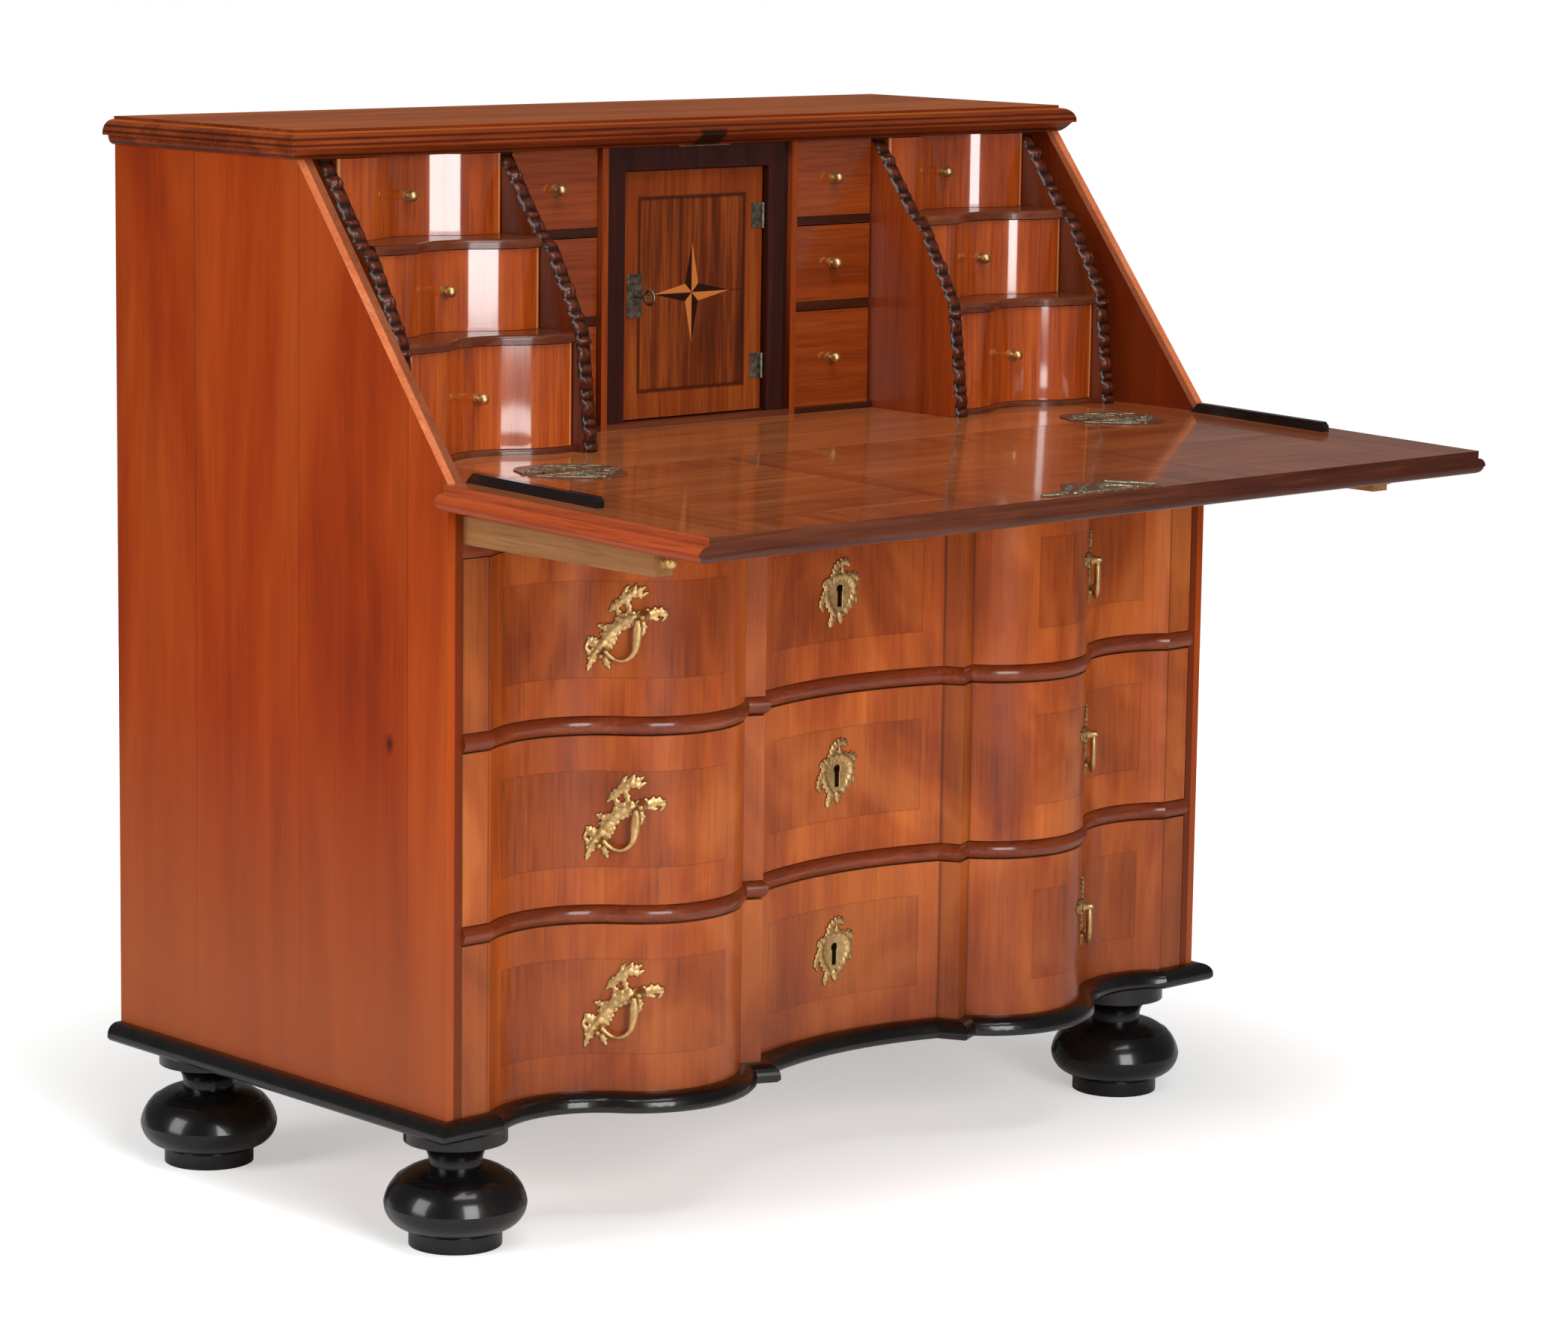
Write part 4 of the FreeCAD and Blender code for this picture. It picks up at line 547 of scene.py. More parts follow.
def gallery_wood():
    """Partitions: orange flanks with painted shade beside the stacks and on the dividers, and dark carved front
    edges with painted shade in their hollows.
    """
    paint = Paint("gallery_wood")
    colour, fibre = paint.wood(2, GALLERY_STOPS, (0.1, 0.2, 0.5), 30, 0.5, 0.35)
    depth = paint.hollow()
    carved = paint.ramp(paint.noise(160, detail=4), CARVED_STOPS)
    # Near black where the carving lies deep: painted shade in its hollows.
    carved = paint.mix(paint.over(depth, 0.7, 0.3), carved, tone((22, 8, 4)))
    # Darker flanks beside the stacks and on the dividers: painted shade.
    beside = paint.between(paint.away(paint.x), *STACK_FLANKS)
    narrow = paint.between(paint.away(paint.x), *DIVIDER_FLANKS)
    shade = paint.plus(paint.times(beside, 0.62), paint.times(narrow, 0.35))
    colour = paint.mix(shade, colour, tone((44, 16, 7)))
    colour = paint.mix(paint.over(depth, 0.1, 0.06), colour, carved)
    return paint.varnish(colour, fibre, (0.30, 0.46), 0.35, 0.24, 0.1, 0.12)


def brass(name, dark=0.0):
    """Gilt brass, rubbed, and as much browner in its hollows as dark says."""
    paint = Paint(name)
    rubbed = paint.noise(260, detail=5, roughness=0.7)
    patch = paint.noise(60, detail=3)
    colour = paint.ramp(paint.plus(paint.times(rubbed, 0.6), paint.times(patch, 0.4)), BRASS_STOPS)
    if dark:
        colour = paint.stain(colour, paint.hollow(), dark, tone((72, 44, 16)))
    paint.set("Base Color", colour)
    paint.set("Metallic", 1.0)
    paint.set("Roughness", paint.fade(rubbed, 0.0, 1.0, 0.32, 0.58))
    paint.bump(rubbed, 0.12, 0.0005)
    return paint.material


def iron(name, stops, metal=0.85):
    """Old iron, rough where it has rusted."""
    paint = Paint(name)
    rust = paint.noise(180, detail=6, roughness=0.7)
    paint.set("Base Color", paint.ramp(rust, stops))
    paint.set("Metallic", metal)
    paint.set("Roughness", paint.fade(rust, 0.0, 1.0, 0.3, 0.6))
    paint.bump(rust, 0.25, 0.0006)
    return paint.material


def wear(material, *names):
    """Gives nodes of the frame a material."""
    for name in names:
        slots = nodes[name].data.materials
        if not slots:
            slots.append(material)
        for number in range(len(slots)):
            slots[number] = material


def dress_frame():
    """Materials for every node of the frame."""
    wear(side_wood(), "side_left", "side_right")
    wear(top_wood(), "top_board")
    wear(plain_wood("back_wood", 2, (0.3, 0.3, 0.1), BACK_JOINTS), "back_panel")
    wear(plain_wood("bottom_wood", 0, (0.6, 0.3, 0.2)), "bottom_board")
    wear(plain_wood("runner_wood", 1, (0.7, 0.1, 0.6)), "drawer_runners")
    wear(loper_wood(), "loper_left", "loper_right")
    wear(ebonised("black_polish"), "base_moulding", "bun_feet", "flap_battens")
    wear(rail_wood("rail_wood", RAIL_STOPS), "front_rails")
    wear(rail_wood("shelf_wood", SHELF_STOPS, dark=INNER_SHELVES), "gallery_shelves")
    wear(rail_wood("surround_wood", SURROUND_STOPS, 2), "door_surround")
    wear(rail_wood("partition_wood", STACK_STOPS, 2, 0.3), "gallery_partitions")
    wear(desk_veneer("desk_veneer", False), "writing_board")
    wear(desk_veneer("flap_veneer", True), "flap_board")
    wear(door_veneer(), "prospect_door")
    wear(iron("iron_plate", IRON_STOPS), "door_ironwork")
    # The plates under the lace take the colour of wood seen through the piercing, darkened as painted shade.
    wear(iron("iron_ground", SHADED_GROUND_STOPS, 0.25), "desk_ironwork", "flap_ironwork")
    gilt = brass("gilt_brass")
    for storey, level in DRAWER_LEVELS.items():
        wear(drawer_veneer(storey, level), "drawer_%s_front" % storey)
        wear(plain_wood("drawer_wood_" + storey, 1, (level, 0.5, 0.2)), "drawer_%s_box" % storey)
        wear(gilt, "drawer_%s_brasses" % storey, "bail_%s_left" % storey, "bail_%s_right" % storey)
    for tier, front in TIER_FRONTS.items():
        stack = small_veneer("stack_veneer_" + tier, STACK_STOPS, 2, front + STACK_THICKNESS, (front, 0.3, 0.4),
                             STACK_END_HIGHLIGHTS)
        inner = small_veneer("inner_veneer_" + tier, INNER_STOPS, 0, INNER_FRONT + INNER_THICKNESS,
                             (0.2, front, 0.1))
        for hand in ("left", "right"):
            wear(stack, "%s_stack_drawer_%s" % (hand, tier))
            wear(inner, "%s_inner_drawer_%s" % (hand, tier))
            wear(gilt, "%s_stack_knob_%s" % (hand, tier), "%s_inner_knob_%s" % (hand, tier))


# Cast brasses. A pull sits where a bulge turns into its cove: the line between the centres of both arcs, in
# millimetres, gives the turn there.
ARC_ACROSS, ARC_OUT, ARC_LENGTH = 163, 136.8026, 212.8026
TURN_ACROSS, TURN_OUT = ARC_OUT / ARC_LENGTH, ARC_ACROSS / ARC_LENGTH
BULGE_RADIUS, COVE_RADIUS, CENTRE_RADIUS, CENTRE_DEPTH = 0.104, 0.1088026, 0.372, 0.020
BULGE_X, BULGE_Y = 0.242, 0.048
PULL_X = BULGE_X + BULGE_RADIUS * TURN_OUT
PULL_Y = BULGE_Y - BULGE_RADIUS * TURN_ACROSS

# Strokes are runs of (across, up, radius) in millimetres, from the middle of the ornament.
PULL_STROKES = [
    [(-32, -43, 2), (-28.5, -33, 3.8), (-21, -22, 5.8), (-12, -10, 5.8), (-3, 1, 6.2), (7, 6, 6.2),
     (18, 8.4, 5.2), (29, 12.5, 4.4), (37, 13.5, 3.4), (41.5, 10, 2)],
    [(35, 13, 3), (40, 8, 2.2), (37, 4, 1.5)],
    [(26, 11, 3.2), (31, 6, 2.4), (34.5, 6.5, 1.4)],
    [(-21, -21, 5), (-17, -30, 4.4), (-12.5, -41, 2.2)],
    [(-21, -20, 4.6), (-27, -16, 4), (-31.5, -12.5, 2.4)],
    [(-31, -14, 2.4), (-33.5, -22, 2.4), (-28, -28, 3.2)],
    [(-22.5, -0.5, 2), (-15, -3, 3.8), (-8, -4, 4.4)],
    [(-20, -8.5, 2.2), (-14, -8.5, 3.4), (-8, -8, 3.8)],
    [(7, 8, 4.4), (6, 18, 3), (3.5, 26.4, 4.2), (10, 31.5, 4), (12.4, 38.5, 2)],
    [(3.5, 26.4, 4), (-4, 21.5, 3.8), (-8, 17.5, 3.2), (-12.5, 13, 1.8)],
    [(-8, 19, 3.2), (-3.5, 12, 2.8), (2, 8, 3.4)],
    [(10, 31, 3.6), (17, 29, 3.2), (23.5, 31.5, 1.8)],
    [(10, 32, 3.4), (17, 34.5, 2.8), (21.5, 37, 1.5)],
    [(3, 28, 3.4), (2.5, 34, 2.4), (6, 38, 1.4)],
    [(18, 8, 4), (20, -1, 3.2), (19, -8, 2.4)],
    [(-9.5, -9, 5.2), (-12, -16, 4.8), (-15, -23, 4)],
]
ESCUTCHEON_STROKES = [
    [(0, 13, 3.6), (-10, 11.5, 4), (-17.5, 5, 4.2), (-19.5, -4, 4), (-16, -14, 3.8), (-11, -21, 3.6),
     (-6.5, -26, 3.2)],
    [(0, 13, 3.6), (10, 11.5, 4), (17.5, 5.5, 4.2), (19.5, -4, 4), (16.5, -12, 3.8), (11.5, -20, 3.6),
     (3, -27, 3.2)],
    [(-8, 13, 3.6), (-7.5, 19, 3.4), (-3, 24, 3.4), (3, 27, 3.4), (9, 26.5, 3.2), (12, 23, 2.4)],
    [(3, 13, 3.2), (4, 18, 2.8), (3.5, 21, 2)],
    [(13, 10, 3.6), (19, 11.5, 3.8), (23, 9.5, 3.2), (23, 5, 2)],
    [(18, -8, 3.2), (22, -11, 2.4), (22.5, -16, 1.5)],
    [(-19, -2, 3.8), (-23.5, -7, 3.4), (-26.5, -14, 3), (-24, -20, 2.2)],
    [(-16, 7, 3.2), (-21, 8, 2.6), (-24, 4, 1.6)],
    [(-8, -25, 3.8), (-10.5, -31, 3.8), (-12.5, -36, 3.2)],
    [(1, -26, 3.6), (2, -31, 3.4), (1.5, -33.5, 2.8)],
]
SHIELD_STROKES = [[(0, 5, 14), (0, -4, 16), (0, -13, 13), (-2, -21, 8)]]

# Strokes swell in beads and grow lobes on both sides. Sizes are in millimetres, in metres for pits and stands.
SHIELD_CAP = 1.6
BEAD_SWELL, BEAD_STEPS = 0.11, 6
LOBE_LEAST, LOBE_FIRST, LOBE_STEP, LOBE_ASIDE, LOBE_SHRINK, LOBE_RISE = 2.6, 2, 5, 0.85, 0.42, 1.15
GRID_PITCH, GRID_MARGIN = 0.7, 1.5
HOLLOW_RISE = 1.7
BAR_SIDES, BOSS_SIDES = 14, 16
HOLE_RADIUS, HOLE_HALF, HOLE_LENGTH = 4.0, 2.6, 18
PIT_RADIUS, PIT_HALF, PIT_LENGTH, PIT_STAND = 0.0044, 0.0029, 0.0185, 0.0002
PIT_TURN, PIT_STEPS = 0.85, 14
RIM_STAND = 0.0001


def smooth_run(marks, steps=8):
    """Points along a smooth curve through (across, up, radius) marks."""
    marks = [Vector(mark) for mark in marks]
    marks = [marks[0] * 2 - marks[1]] + marks + [marks[-1] * 2 - marks[-2]]
    run = []
    for before, first, last, after in zip(marks, marks[1:], marks[2:], marks[3:]):
        for number in range(steps):
            t = number / steps
            run.append(0.5 * (2 * first + (last - before) * t
                              + (2 * before - 5 * first + 4 * last - after) * t ** 2
                              + (3 * first - before - 3 * last + after) * t ** 3))
    return run + [marks[-2]]


def cast_height(strokes, across, up, cap=None):
    """How far rounded strokes rise over each place of a grid."""
    height = np.zeros_like(across)
    for run in (smooth_run(stroke) for stroke in strokes):
        spots = [(mark, 1 - BEAD_SWELL + BEAD_SWELL * math.cos(number * math.tau / BEAD_STEPS))
                 for number, mark in enumerate(run)]
        for before, mark, after in list(zip(run, run[1:], run[2:]))[LOBE_FIRST::LOBE_STEP]:
            along = (after - before).to_2d()
            if cap is None and along.length and mark.z > LOBE_LEAST:
                aside = Vector((-along.y, along.x)).normalized() * mark.z * LOBE_ASIDE
                spots += [(mark + Vector((aside.x, aside.y, -LOBE_SHRINK * mark.z)), LOBE_RISE),
                          (mark - Vector((aside.x, aside.y, LOBE_SHRINK * mark.z)), LOBE_RISE)]
        for (x, y, radius), share in spots:
            square = radius ** 2 - (across - x) ** 2 - (up - y) ** 2
            height = np.maximum(height, np.sqrt(np.maximum(square, 0)) * share)
    return height if cap is None else np.minimum(height, cap)


def keyhole(across, up):
    """Where a grid is cut away: a round hole with a slot under it."""
    slot = (np.abs(across) < HOLE_HALF) & (up < 0) & (up > -HOLE_LENGTH)
    return (across ** 2 + up ** 2 < HOLE_RADIUS ** 2) | slot


def cast_grid(strokes, field=None, hole=None):
    """The places of a grid over an ornament, in millimetres, and how far it rises at each."""
    marks = np.array([mark for stroke in strokes for mark in stroke])
    low = (marks[:, :2] - marks[:, 2:]).min(0) - GRID_MARGIN
    high = (marks[:, :2] + marks[:, 2:]).max(0) + GRID_MARGIN
    steps = [np.arange(first, last, GRID_PITCH) for first, last in zip(low, high)]
    across, up = np.meshgrid(*steps, indexing="ij")
    height = cast_height(strokes, across, up)
    if field:
        height = np.maximum(height, cast_height(field, across, up, SHIELD_CAP))
    if hole:
        height[hole(across, up)] = 0
    return across, up, height


PULL_GRID = cast_grid(PULL_STROKES)
ESCUTCHEON_GRID = cast_grid(ESCUTCHEON_STROKES, SHIELD_STROKES, keyhole)


def circle(sides):
    """Cosine and sine of each corner round a circle."""
    return [(math.cos(k * math.tau / sides), math.sin(k * math.tau / sides)) for k in range(sides)]


class Shell:
    """Faces of one cast or carved piece, gathered in the frame."""

    def __init__(self):
        self.points, self.faces, self.hollows = [], [], []

    def point(self, place, hollow):
        self.points.append(place)
        self.hollows.append(hollow)
        return len(self.points) - 1

    def cast(self, grid, place, base=0.0006, lift=0.00064):
        """A relief over a grid, with its rim taken down to the ground it sits on."""
        across, up, height = grid
        top, low = {}, {}
        for i, j in np.argwhere(height > 0):
            x, y, rise = across[i, j] / 1000, up[i, j] / 1000, height[i, j]
            top[i, j] = self.point(place(x, y, base + rise * lift), max(0.0, 1 - rise / HOLLOW_RISE))
        edges = {}
        for i, j in top:
            ring = [(i, j), (i + 1, j), (i + 1, j + 1), (i, j + 1)]
            if all(corner in top for corner in ring):
                self.faces.append([top[corner] for corner in ring])
                for edge in zip(ring, ring[1:] + ring[:1]):
                    if edge[::-1] in edges:
                        del edges[edge[::-1]]
                    else:
                        edges[edge] = True
        for edge in edges:
            for corner in edge:
                if corner not in low:
                    i, j = corner
                    low[corner] = self.point(place(across[i, j] / 1000, up[i, j] / 1000, RIM_STAND), 1.0)
            first, last = edge
            self.faces.append([top[last], top[first], low[first], low[last]])

    def skin(self, rings):
        """Faces between rings of points that follow one another."""
        for lower, upper in zip(rings, rings[1:]):
            for k in range(len(lower)):
                n = (k + 1) % len(lower)
                self.faces.append([lower[k], lower[n], upper[n], upper[k]])

    def tube(self, run, place, stand, most):
        """A bar along a run of (across, up, radius) in metres, level over the ground; most caps half its depth."""
        rings = []
        for index, (x, y, radius) in enumerate(run):
            before, after = run[max(index - 1, 0)], run[min(index + 1, len(run) - 1)]
            along = (after - before).to_2d().normalized()
            deep = min(radius, most)
            rings.append([self.point(place(x - along.y * radius * cosine, y + along.x * radius * cosine,
                                           stand + deep * sine), 0.0)
                          for cosine, sine in circle(BAR_SIDES)])
        self.skin(rings)
        self.faces += [rings[0][::-1], rings[-1]]

    def turned(self, profile, place):
        """A small turned boss: profile is (radius, stand) in metres, from the ground up."""
        rings = [[self.point(place(radius * cosine, radius * sine, stand), 0.0)
                  for cosine, sine in circle(BOSS_SIDES)] for radius, stand in profile]
        self.skin(rings)
        self.faces.append(rings[-1])

    def build(self, name, material, flip=False):
        """The piece as an object; flip turns its faces round, for a mirrored one."""
        mesh = bpy.data.meshes.new(name)
        faces = [face[::-1] for face in self.faces] if flip else self.faces
        mesh.from_pydata(self.points, [], faces)
        mesh.validate()
        layer = mesh.attributes.new("hollow", "FLOAT", "POINT")
        layer.data.foreach_set("value", self.hollows)
        mesh.materials.append(material)
        mesh.shade_smooth()
        piece = bpy.data.objects.new(name, mesh)
        scene.collection.objects.link(piece)
        return piece


def pull_place(side, middle, x=0.0, y=0.0, bend=True):
    """Places on a pull: across towards the crest of the bulge, up, and out from the wood."""
    def place(across, up, stand):
        across, up = across + x, up + y
        radius = BULGE_RADIUS if across > 0 else -COVE_RADIUS
        if bend:
            stand = stand - (radius - math.copysign(math.sqrt(radius ** 2 - across ** 2), radius))
        seen = -across * side
        return (PULL_X * side + TURN_ACROSS * seen + TURN_OUT * stand * side,
                FRONT + PULL_Y + TURN_OUT * seen * side - TURN_ACROSS * stand, middle + up)
    return place


def escutcheon_place(middle):
    """Places on a keyhole plate in the hollow centre of a drawer: across, up, and out from the wood."""
    def place(across, up, stand):
        hollow = CENTRE_RADIUS - math.sqrt(CENTRE_RADIUS ** 2 - across ** 2)
        return (across, FRONT + CENTRE_DEPTH - hollow - stand, middle + up)
    return place


# The posts that a handle hangs from, their places and their profile of (radius, stand) in metres, and a handle's
# run, which is a stroke
POST_PLACES = [(0.0204, 0.0094), (-0.0195, -0.0292)]
POST_PROFILE = [(0.0062, 0.0), (0.0050, 0.0025), (0.0040, 0.0048), (0.0033, 0.0066), (0.0031, 0.0085),
                (0.0031, 0.0100), (0.0022, 0.0114), (0.0009, 0.0119)]
BAIL_STAND, BAIL_DEPTH = 0.008, 0.0032
EYE_RADIUS, EYE_TURN, EYE_STEPS = 0.0032, 1.45, 9
BAIL_RUN = [(15.7, 4.9, 3), (15.8, 0.6, 4.2), (15.2, -6, 5), (14.6, -13, 4.7), (13.8, -19.5, 3.8),
            (12, -25.4, 2.9), (7.6, -30.6, 2.2), (1, -33, 2), (-6, -31.8, 2.2), (-11.6, -28.2, 2.8),
            (-14.8, -24.7, 3)]


def keyhole_shadow(name, place, dark):
    """A dark face in a keyhole: painted shadow where the hole would be."""
    turns = np.linspace(-PIT_TURN, math.pi + PIT_TURN, PIT_STEPS)
    rim = [(PIT_RADIUS * math.cos(a), PIT_RADIUS * math.sin(a)) for a in turns]
    rim += [(-PIT_HALF, -PIT_LENGTH), (PIT_HALF, -PIT_LENGTH)]
    hole = Shell()
    hole.faces.append([hole.point(place(x, y, PIT_STAND), 0.0) for x, y in rim])
    return hole.build(name, dark)


def dress_bails(gilt):
    """Drop handles: each a flattened bar, widest on one arm, with a ball at each eye."""
    run = [mark / 1000 for mark in smooth_run(BAIL_RUN, 4)]
    turns = np.linspace(-EYE_TURN, EYE_TURN, EYE_STEPS)
    ball = [(EYE_RADIUS * math.cos(a), BAIL_STAND + EYE_RADIUS * math.sin(a)) for a in turns]
    for storey, level in DRAWER_LEVELS.items():
        for hand, side in (("left", -1), ("right", 1)):
            shell = Shell()
            middle = level + PULL_LEVEL
            shell.tube(run, pull_place(side, middle, bend=False), BAIL_STAND, BAIL_DEPTH)
            for mark in (run[0], run[-1]):
                shell.turned(ball, pull_place(side, middle, mark.x, mark.y, bend=False))
            name = "bail_%s_%s" % (storey, hand)
            piece = shell.build("cast_" + name, gilt, flip=side > 0)
            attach(piece, name)
            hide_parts(name)


# Pierced plates on the desk and the flap, as strokes from the hinge line, and for the lock from the flap's lip
LEAF_HALF = [
    [(-49, 10, 2.4), (-46, 15, 2.4), (-38, 19, 2.4), (-29, 16, 2.2), (-31, 11.5, 1.6)],
    [(-36, 18, 2.2), (-29, 28, 2.4), (-19, 31, 2.2), (-13, 25, 2), (-17, 20, 1.5)],
    [(-24, 31, 2), (-14, 39, 2.2), (-5, 43, 2.2)],
    [(-22, 10.5, 2.2), (-14, 15, 2.2), (-3, 17, 2.2)],
    [(-10, 20, 2), (-7, 29, 2), (-3, 35, 2)],
    [(-50, 9.4, 1.8), (-27, 9.6, 1.8), (0, 9.4, 1.8)],
]
LEAF_STEM = [[(0, 10.5, 2.6), (0, 20, 2.4), (0, 36, 2.6), (0, 48, 1.8)]]
LOCK_STROKES = [
    [(-96, 12, 1.6), (-80, 9, 2.6), (-62, 14, 2.8), (-50, 26, 2.8), (-36, 34, 2.6), (-28, 46, 2)],
    [(-60, 6, 2.4), (-44, 12, 2.6), (-30, 24, 2.6), (-14, 34, 2.4), (-4, 40, 1.8)],
    [(50, 8, 2.4), (44, 22, 2.6), (32, 32, 2.6), (24, 46, 1.8)],
    [(-50, 4, 2.2), (-24, 4, 2.2), (0, 4, 2.2), (26, 4, 2.2), (50, 4, 2.2)],
    [(-20, 6, 2.4), (-12, 18, 2.6), (0, 26, 2.8), (14, 20, 2.6), (22, 7, 2.2)],
    [(0, 26, 2.6), (10, 34, 2.4), (20, 34, 1.8)],
]
LEAF_MIDDLE, LEAF_TOP = 0.372, 0.7432
LEAF_RELIEF, LOCK_RELIEF = (0.0, 0.0004), (0.0004, 0.0005)
FLAP_END, FLAP_TILT, FLAP_UNDER, FLAP_LOCK = 0.3619, 0.0263, 0.718, 0.300


def flap_escutcheon(gilt, dark):
    """The keyhole plate on the outside of the flap, which faces down while it is open."""
    def place(across, up, stand):
        depth = FLAP_LOCK + up
        return (across, FRONT - depth, FLAP_UNDER - FLAP_TILT * depth - stand)
    shell = Shell()
    shell.cast(ESCUTCHEON_GRID, place)
    plate = shell.build("flap_keyplate", gilt)
    hole_shadow = keyhole_shadow("keyhole_flap", place, dark)
    for piece in (plate, hole_shadow):
        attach(piece, "flap")


def leaf_place(middle, ahead, start=0.0, tilt=0.0):
    """Places on a plate: across, away from its straight edge, and up."""
    def place(across, away, stand):
        depth = start + away * ahead
        return (middle + across, FRONT + depth, LEAF_TOP + stand + tilt * depth)
    return place


def mirrored(grid):
    """The same relief with its columns in the other order, for a plate laid the other way round."""
    across, up, height = grid
    return across[::-1], up[::-1], height[::-1]


def dress_plates():
    """Lace on the hinge leaves of the desk and the flap, and on the flap's lock."""
    lace = iron("iron_lace", LACE_STOPS)
    half = LEAF_HALF + [[(-x, y, radius) for x, y, radius in stroke] for stroke in LEAF_HALF]
    leaf = cast_grid(half + LEAF_STEM)
    lock = cast_grid(LOCK_STROKES)
    desk, flap = Shell(), Shell()
    for side in (-1, 1):
        desk.cast(leaf, leaf_place(LEAF_MIDDLE * side, 1), *LEAF_RELIEF)
        flap.cast(mirrored(leaf), leaf_place(-LEAF_MIDDLE * side, -1, 0.0, FLAP_TILT), *LEAF_RELIEF)
    flap.cast(lock, leaf_place(0.0, 1, -FLAP_END, FLAP_TILT), *LOCK_RELIEF)
    for shell, name, body in ((desk, "pierced_leaves_desk", "carcass"), (flap, "pierced_leaves_flap", "flap")):
        piece = shell.build(name, lace)
        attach(piece, body)


# Carved partitions of the gallery, in millimetres behind the front edges of the sides
EDGE_LEVELS = [742, 858, 938, 947, 1027]
EDGE_FRONTS = [103, 117, 164, 178, 237]
SLOPE_RUN, SLOPE_RISE, DESK_LEVEL, PARTITION_BACK = 226, 285, 742, 510
PARTITIONS = [(-488, -470), (-265, -247), (247, 265), (470, 488)]
DIVIDERS = [(-134, -126), (126, 134)]
DIVIDER_FRONT = 230
LEAF_MARKS = [0, 9, 24, 33, 51, 60, 74, 86, 103, 112, 129, 138, 153, 170, 178, 193, 205, 222, 231, 247, 256,
              272, 290, 305, 320, 340]
LEAF_SIZES = (3.2, 6.4, 2.6, 5.2, 3.4, 5.8, 2.2)
LEAF_LEAN, EDGE_ROUND, EDGE_COLUMNS, CARVED_DEPTH = 0.3, 2.2, 15, 2.4
FLAP_CLEARANCE = 5.5


def leaf_height(share, across, size):
    """A carved leaf: share runs from its stalk to its tip, across from -1 to 1."""
    rise = math.sin(math.pi * share ** 1.6) ** 0.8
    width = 0.5 + 0.5 * math.sin(math.pi * min(1.0, 0.15 + share * 0.85))
    body = max(0.0, 1 - abs(across / width) ** 2.4)
    middle_vein = 0.30 * math.exp(-(across / 0.14) ** 2)
    side_veins = 0.22 * math.exp(-((abs(across) - 0.55) / 0.13) ** 2)
    return size * rise * (0.25 + 0.75 * body) * (1 - (middle_vein + side_veins))


def carved_board(shell, low, high):
    """One partition: its front edge is a run of overlapping leaves, the rest is flat."""
    rows = np.arange(DESK_LEVEL, EDGE_LEVELS[-1] + 0.1, 1.0)
    columns = np.linspace(-1, 1, EDGE_COLUMNS)
    middle, half = (low + high) / 2, (high - low) / 2
    fronts = np.interp(rows, EDGE_LEVELS, EDGE_FRONTS)
    along = np.concatenate([[0], np.cumsum(np.hypot(np.diff(rows), np.diff(fronts)))])
    grid = []
    for level, front, place in zip(rows, fronts, along):
        number = max(k for k, mark in enumerate(LEAF_MARKS) if mark <= place)
        share = (place - LEAF_MARKS[number]) / (LEAF_MARKS[number + 1] - LEAF_MARKS[number])
        size = LEAF_SIZES[number % len(LEAF_SIZES)]
        lean = LEAF_LEAN * (-1) ** number
        most = front - SLOPE_RUN * (level - DESK_LEVEL) / SLOPE_RISE - FLAP_CLEARANCE
        line = []
        for across in columns:
            rise = min(leaf_height(share, across - lean * share, size), most)
            depth = front - rise + EDGE_ROUND * abs(across) ** 6
            spot = [(middle + across * half) / 1000, FRONT + depth / 1000, level / 1000]
            line.append(shell.point(spot, 0.25 + 0.75 * max(0.0, 1 - rise / CARVED_DEPTH)))
        grid.append(line)
    for lower, upper in zip(grid, grid[1:]):
        shell.faces += [[lower[k], lower[k + 1], upper[k + 1], upper[k]] for k in range(len(lower) - 1)]
    close_board(shell, [line[0] for line in grid], [line[-1] for line in grid])


def plain_board(shell, low, high, front):
    """One board with a flat front edge."""
    ends = []
    for x in (low, high):
        ends.append([shell.point((x / 1000, FRONT + front / 1000, level / 1000), 0.0)
                     for level in (DESK_LEVEL, EDGE_LEVELS[-1])])
    shell.faces.append([ends[0][0], ends[1][0], ends[1][1], ends[0][1]])
    close_board(shell, *ends)


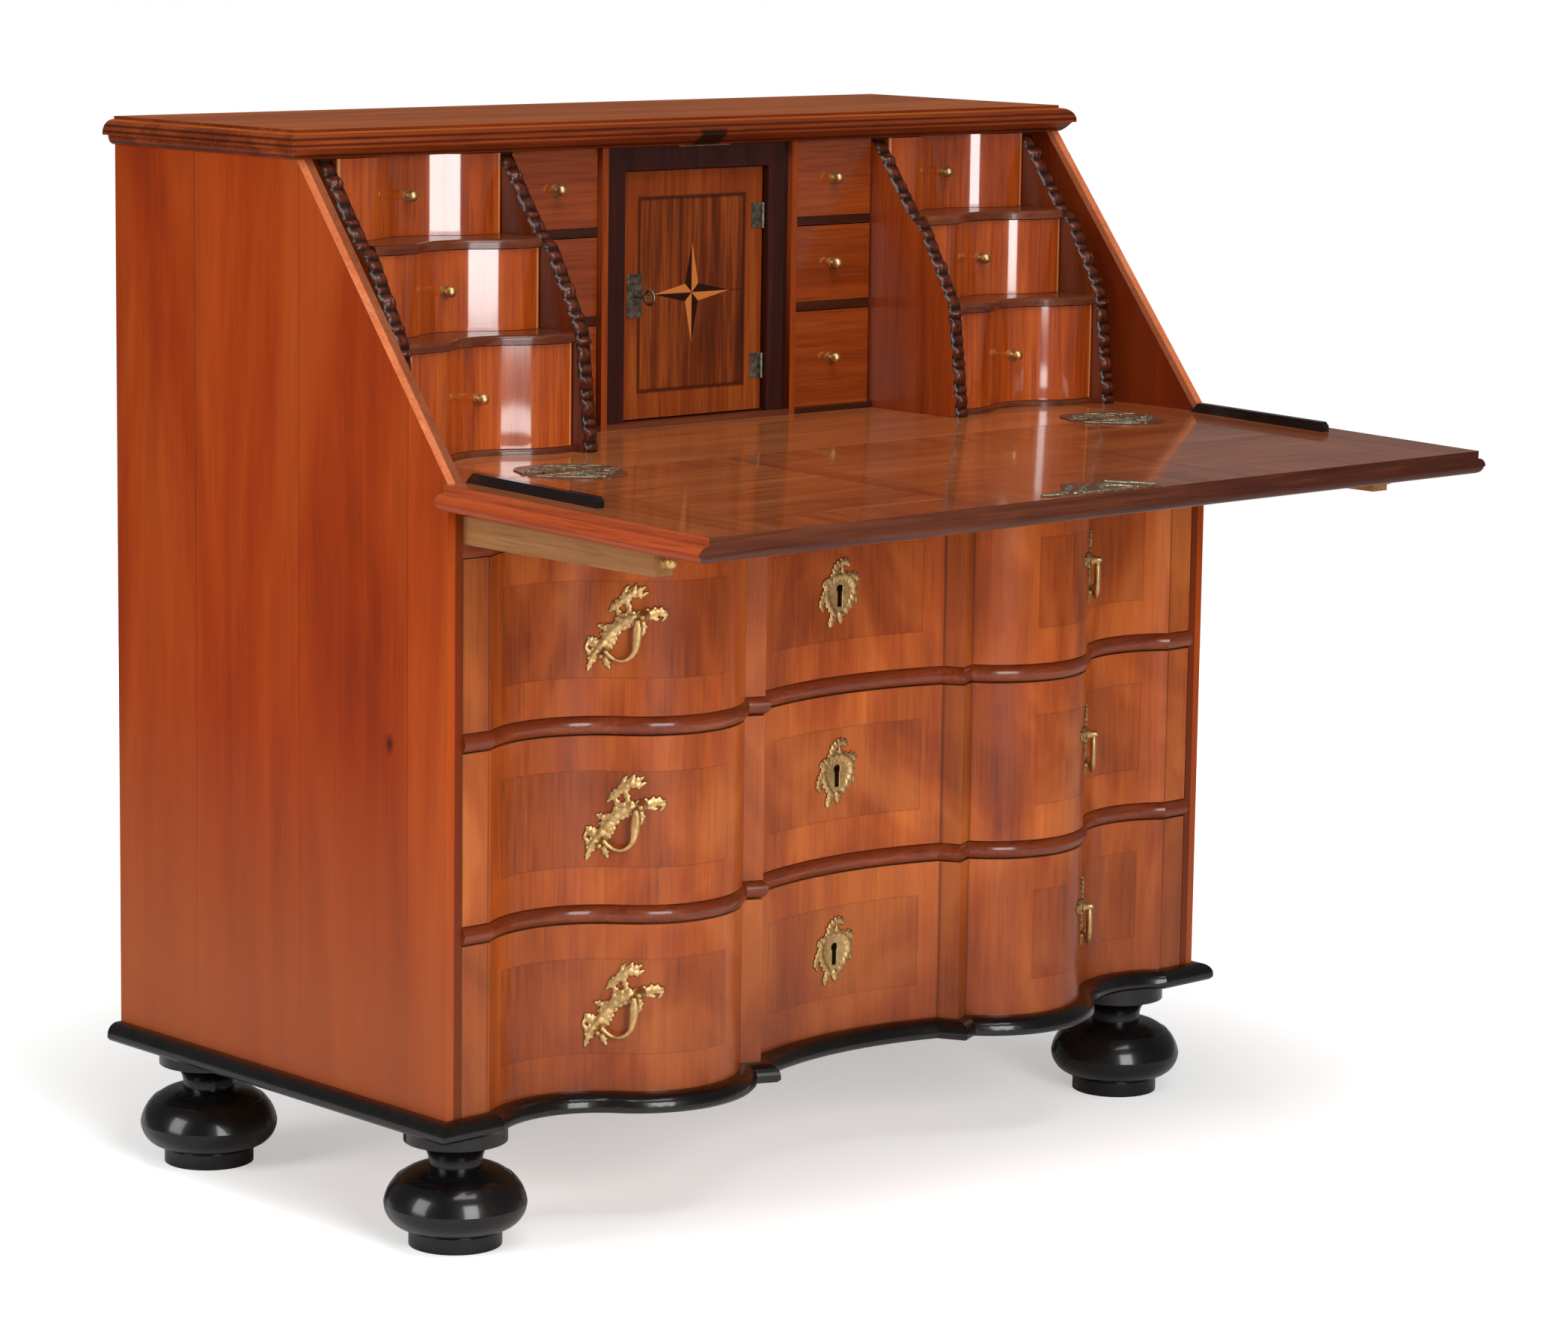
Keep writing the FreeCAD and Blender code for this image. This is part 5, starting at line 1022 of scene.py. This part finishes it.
def close_board(shell, left, right):
    """Flanks, back and ends behind the two upright edges of a board."""
    flanks = []
    for edge in (left, right):
        near = [shell.point(shell.points[index], 0.0) for index in edge]
        back = FRONT + PARTITION_BACK / 1000
        far = [shell.point([shell.points[index][0], back, shell.points[index][2]], 0.0) for index in edge]
        flanks.append((near, far))
    (near_left, far_left), (near_right, far_right) = flanks
    for k in range(len(left) - 1):
        shell.faces.append([far_left[k], near_left[k], near_left[k + 1], far_left[k + 1]])
        shell.faces.append([near_right[k], far_right[k], far_right[k + 1], near_right[k + 1]])
        shell.faces.append([far_right[k], far_left[k], far_left[k + 1], far_right[k + 1]])
    shell.faces.append([near_left[0], far_left[0], far_right[0], near_right[0]])
    shell.faces.append([far_left[-1], near_left[-1], near_right[-1], far_right[-1]])


def dress_gallery():
    """The four carved partitions and the two plain dividers beside the small door."""
    shell = Shell()
    for low, high in PARTITIONS:
        carved_board(shell, low, high)
    for low, high in DIVIDERS:
        plain_board(shell, low, high, DIVIDER_FRONT)
    piece = shell.build("carved_partitions", gallery_wood())
    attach(piece, "carcass")
    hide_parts("gallery_partitions")


def dress_brasses():
    """Pulls, keyhole plates and handles of the large drawers, and the keyhole plate of the flap."""
    gilt = brass("cast_brass", 0.9)
    dark = keyhole_shade()
    for storey, level in DRAWER_LEVELS.items():
        left, right = Shell(), Shell()
        for side, shell in ((-1, left), (1, right)):
            middle = level + PULL_LEVEL
            shell.cast(PULL_GRID, pull_place(side, middle))
            for x, y in POST_PLACES:
                shell.turned(POST_PROFILE, pull_place(side, middle, x, y, bend=False))
        lock = escutcheon_place(level + LOCK_LEVEL)
        left.cast(ESCUTCHEON_GRID, lock)
        main = left.build("cast_brasses_" + storey, gilt)
        other = right.build("cast_pull_right_" + storey, gilt, flip=True)
        hole_shadow = keyhole_shadow("keyhole_" + storey, lock, dark)
        for piece in (main, other, hole_shadow):
            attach(piece, "drawer_" + storey)
        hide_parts("drawer_%s_brasses" % storey)
    dress_bails(gilt)
    flap_escutcheon(gilt, dark)


set_camera()
set_light()
set_floor()
dress_frame()
dress_brasses()
dress_plates()
dress_gallery()
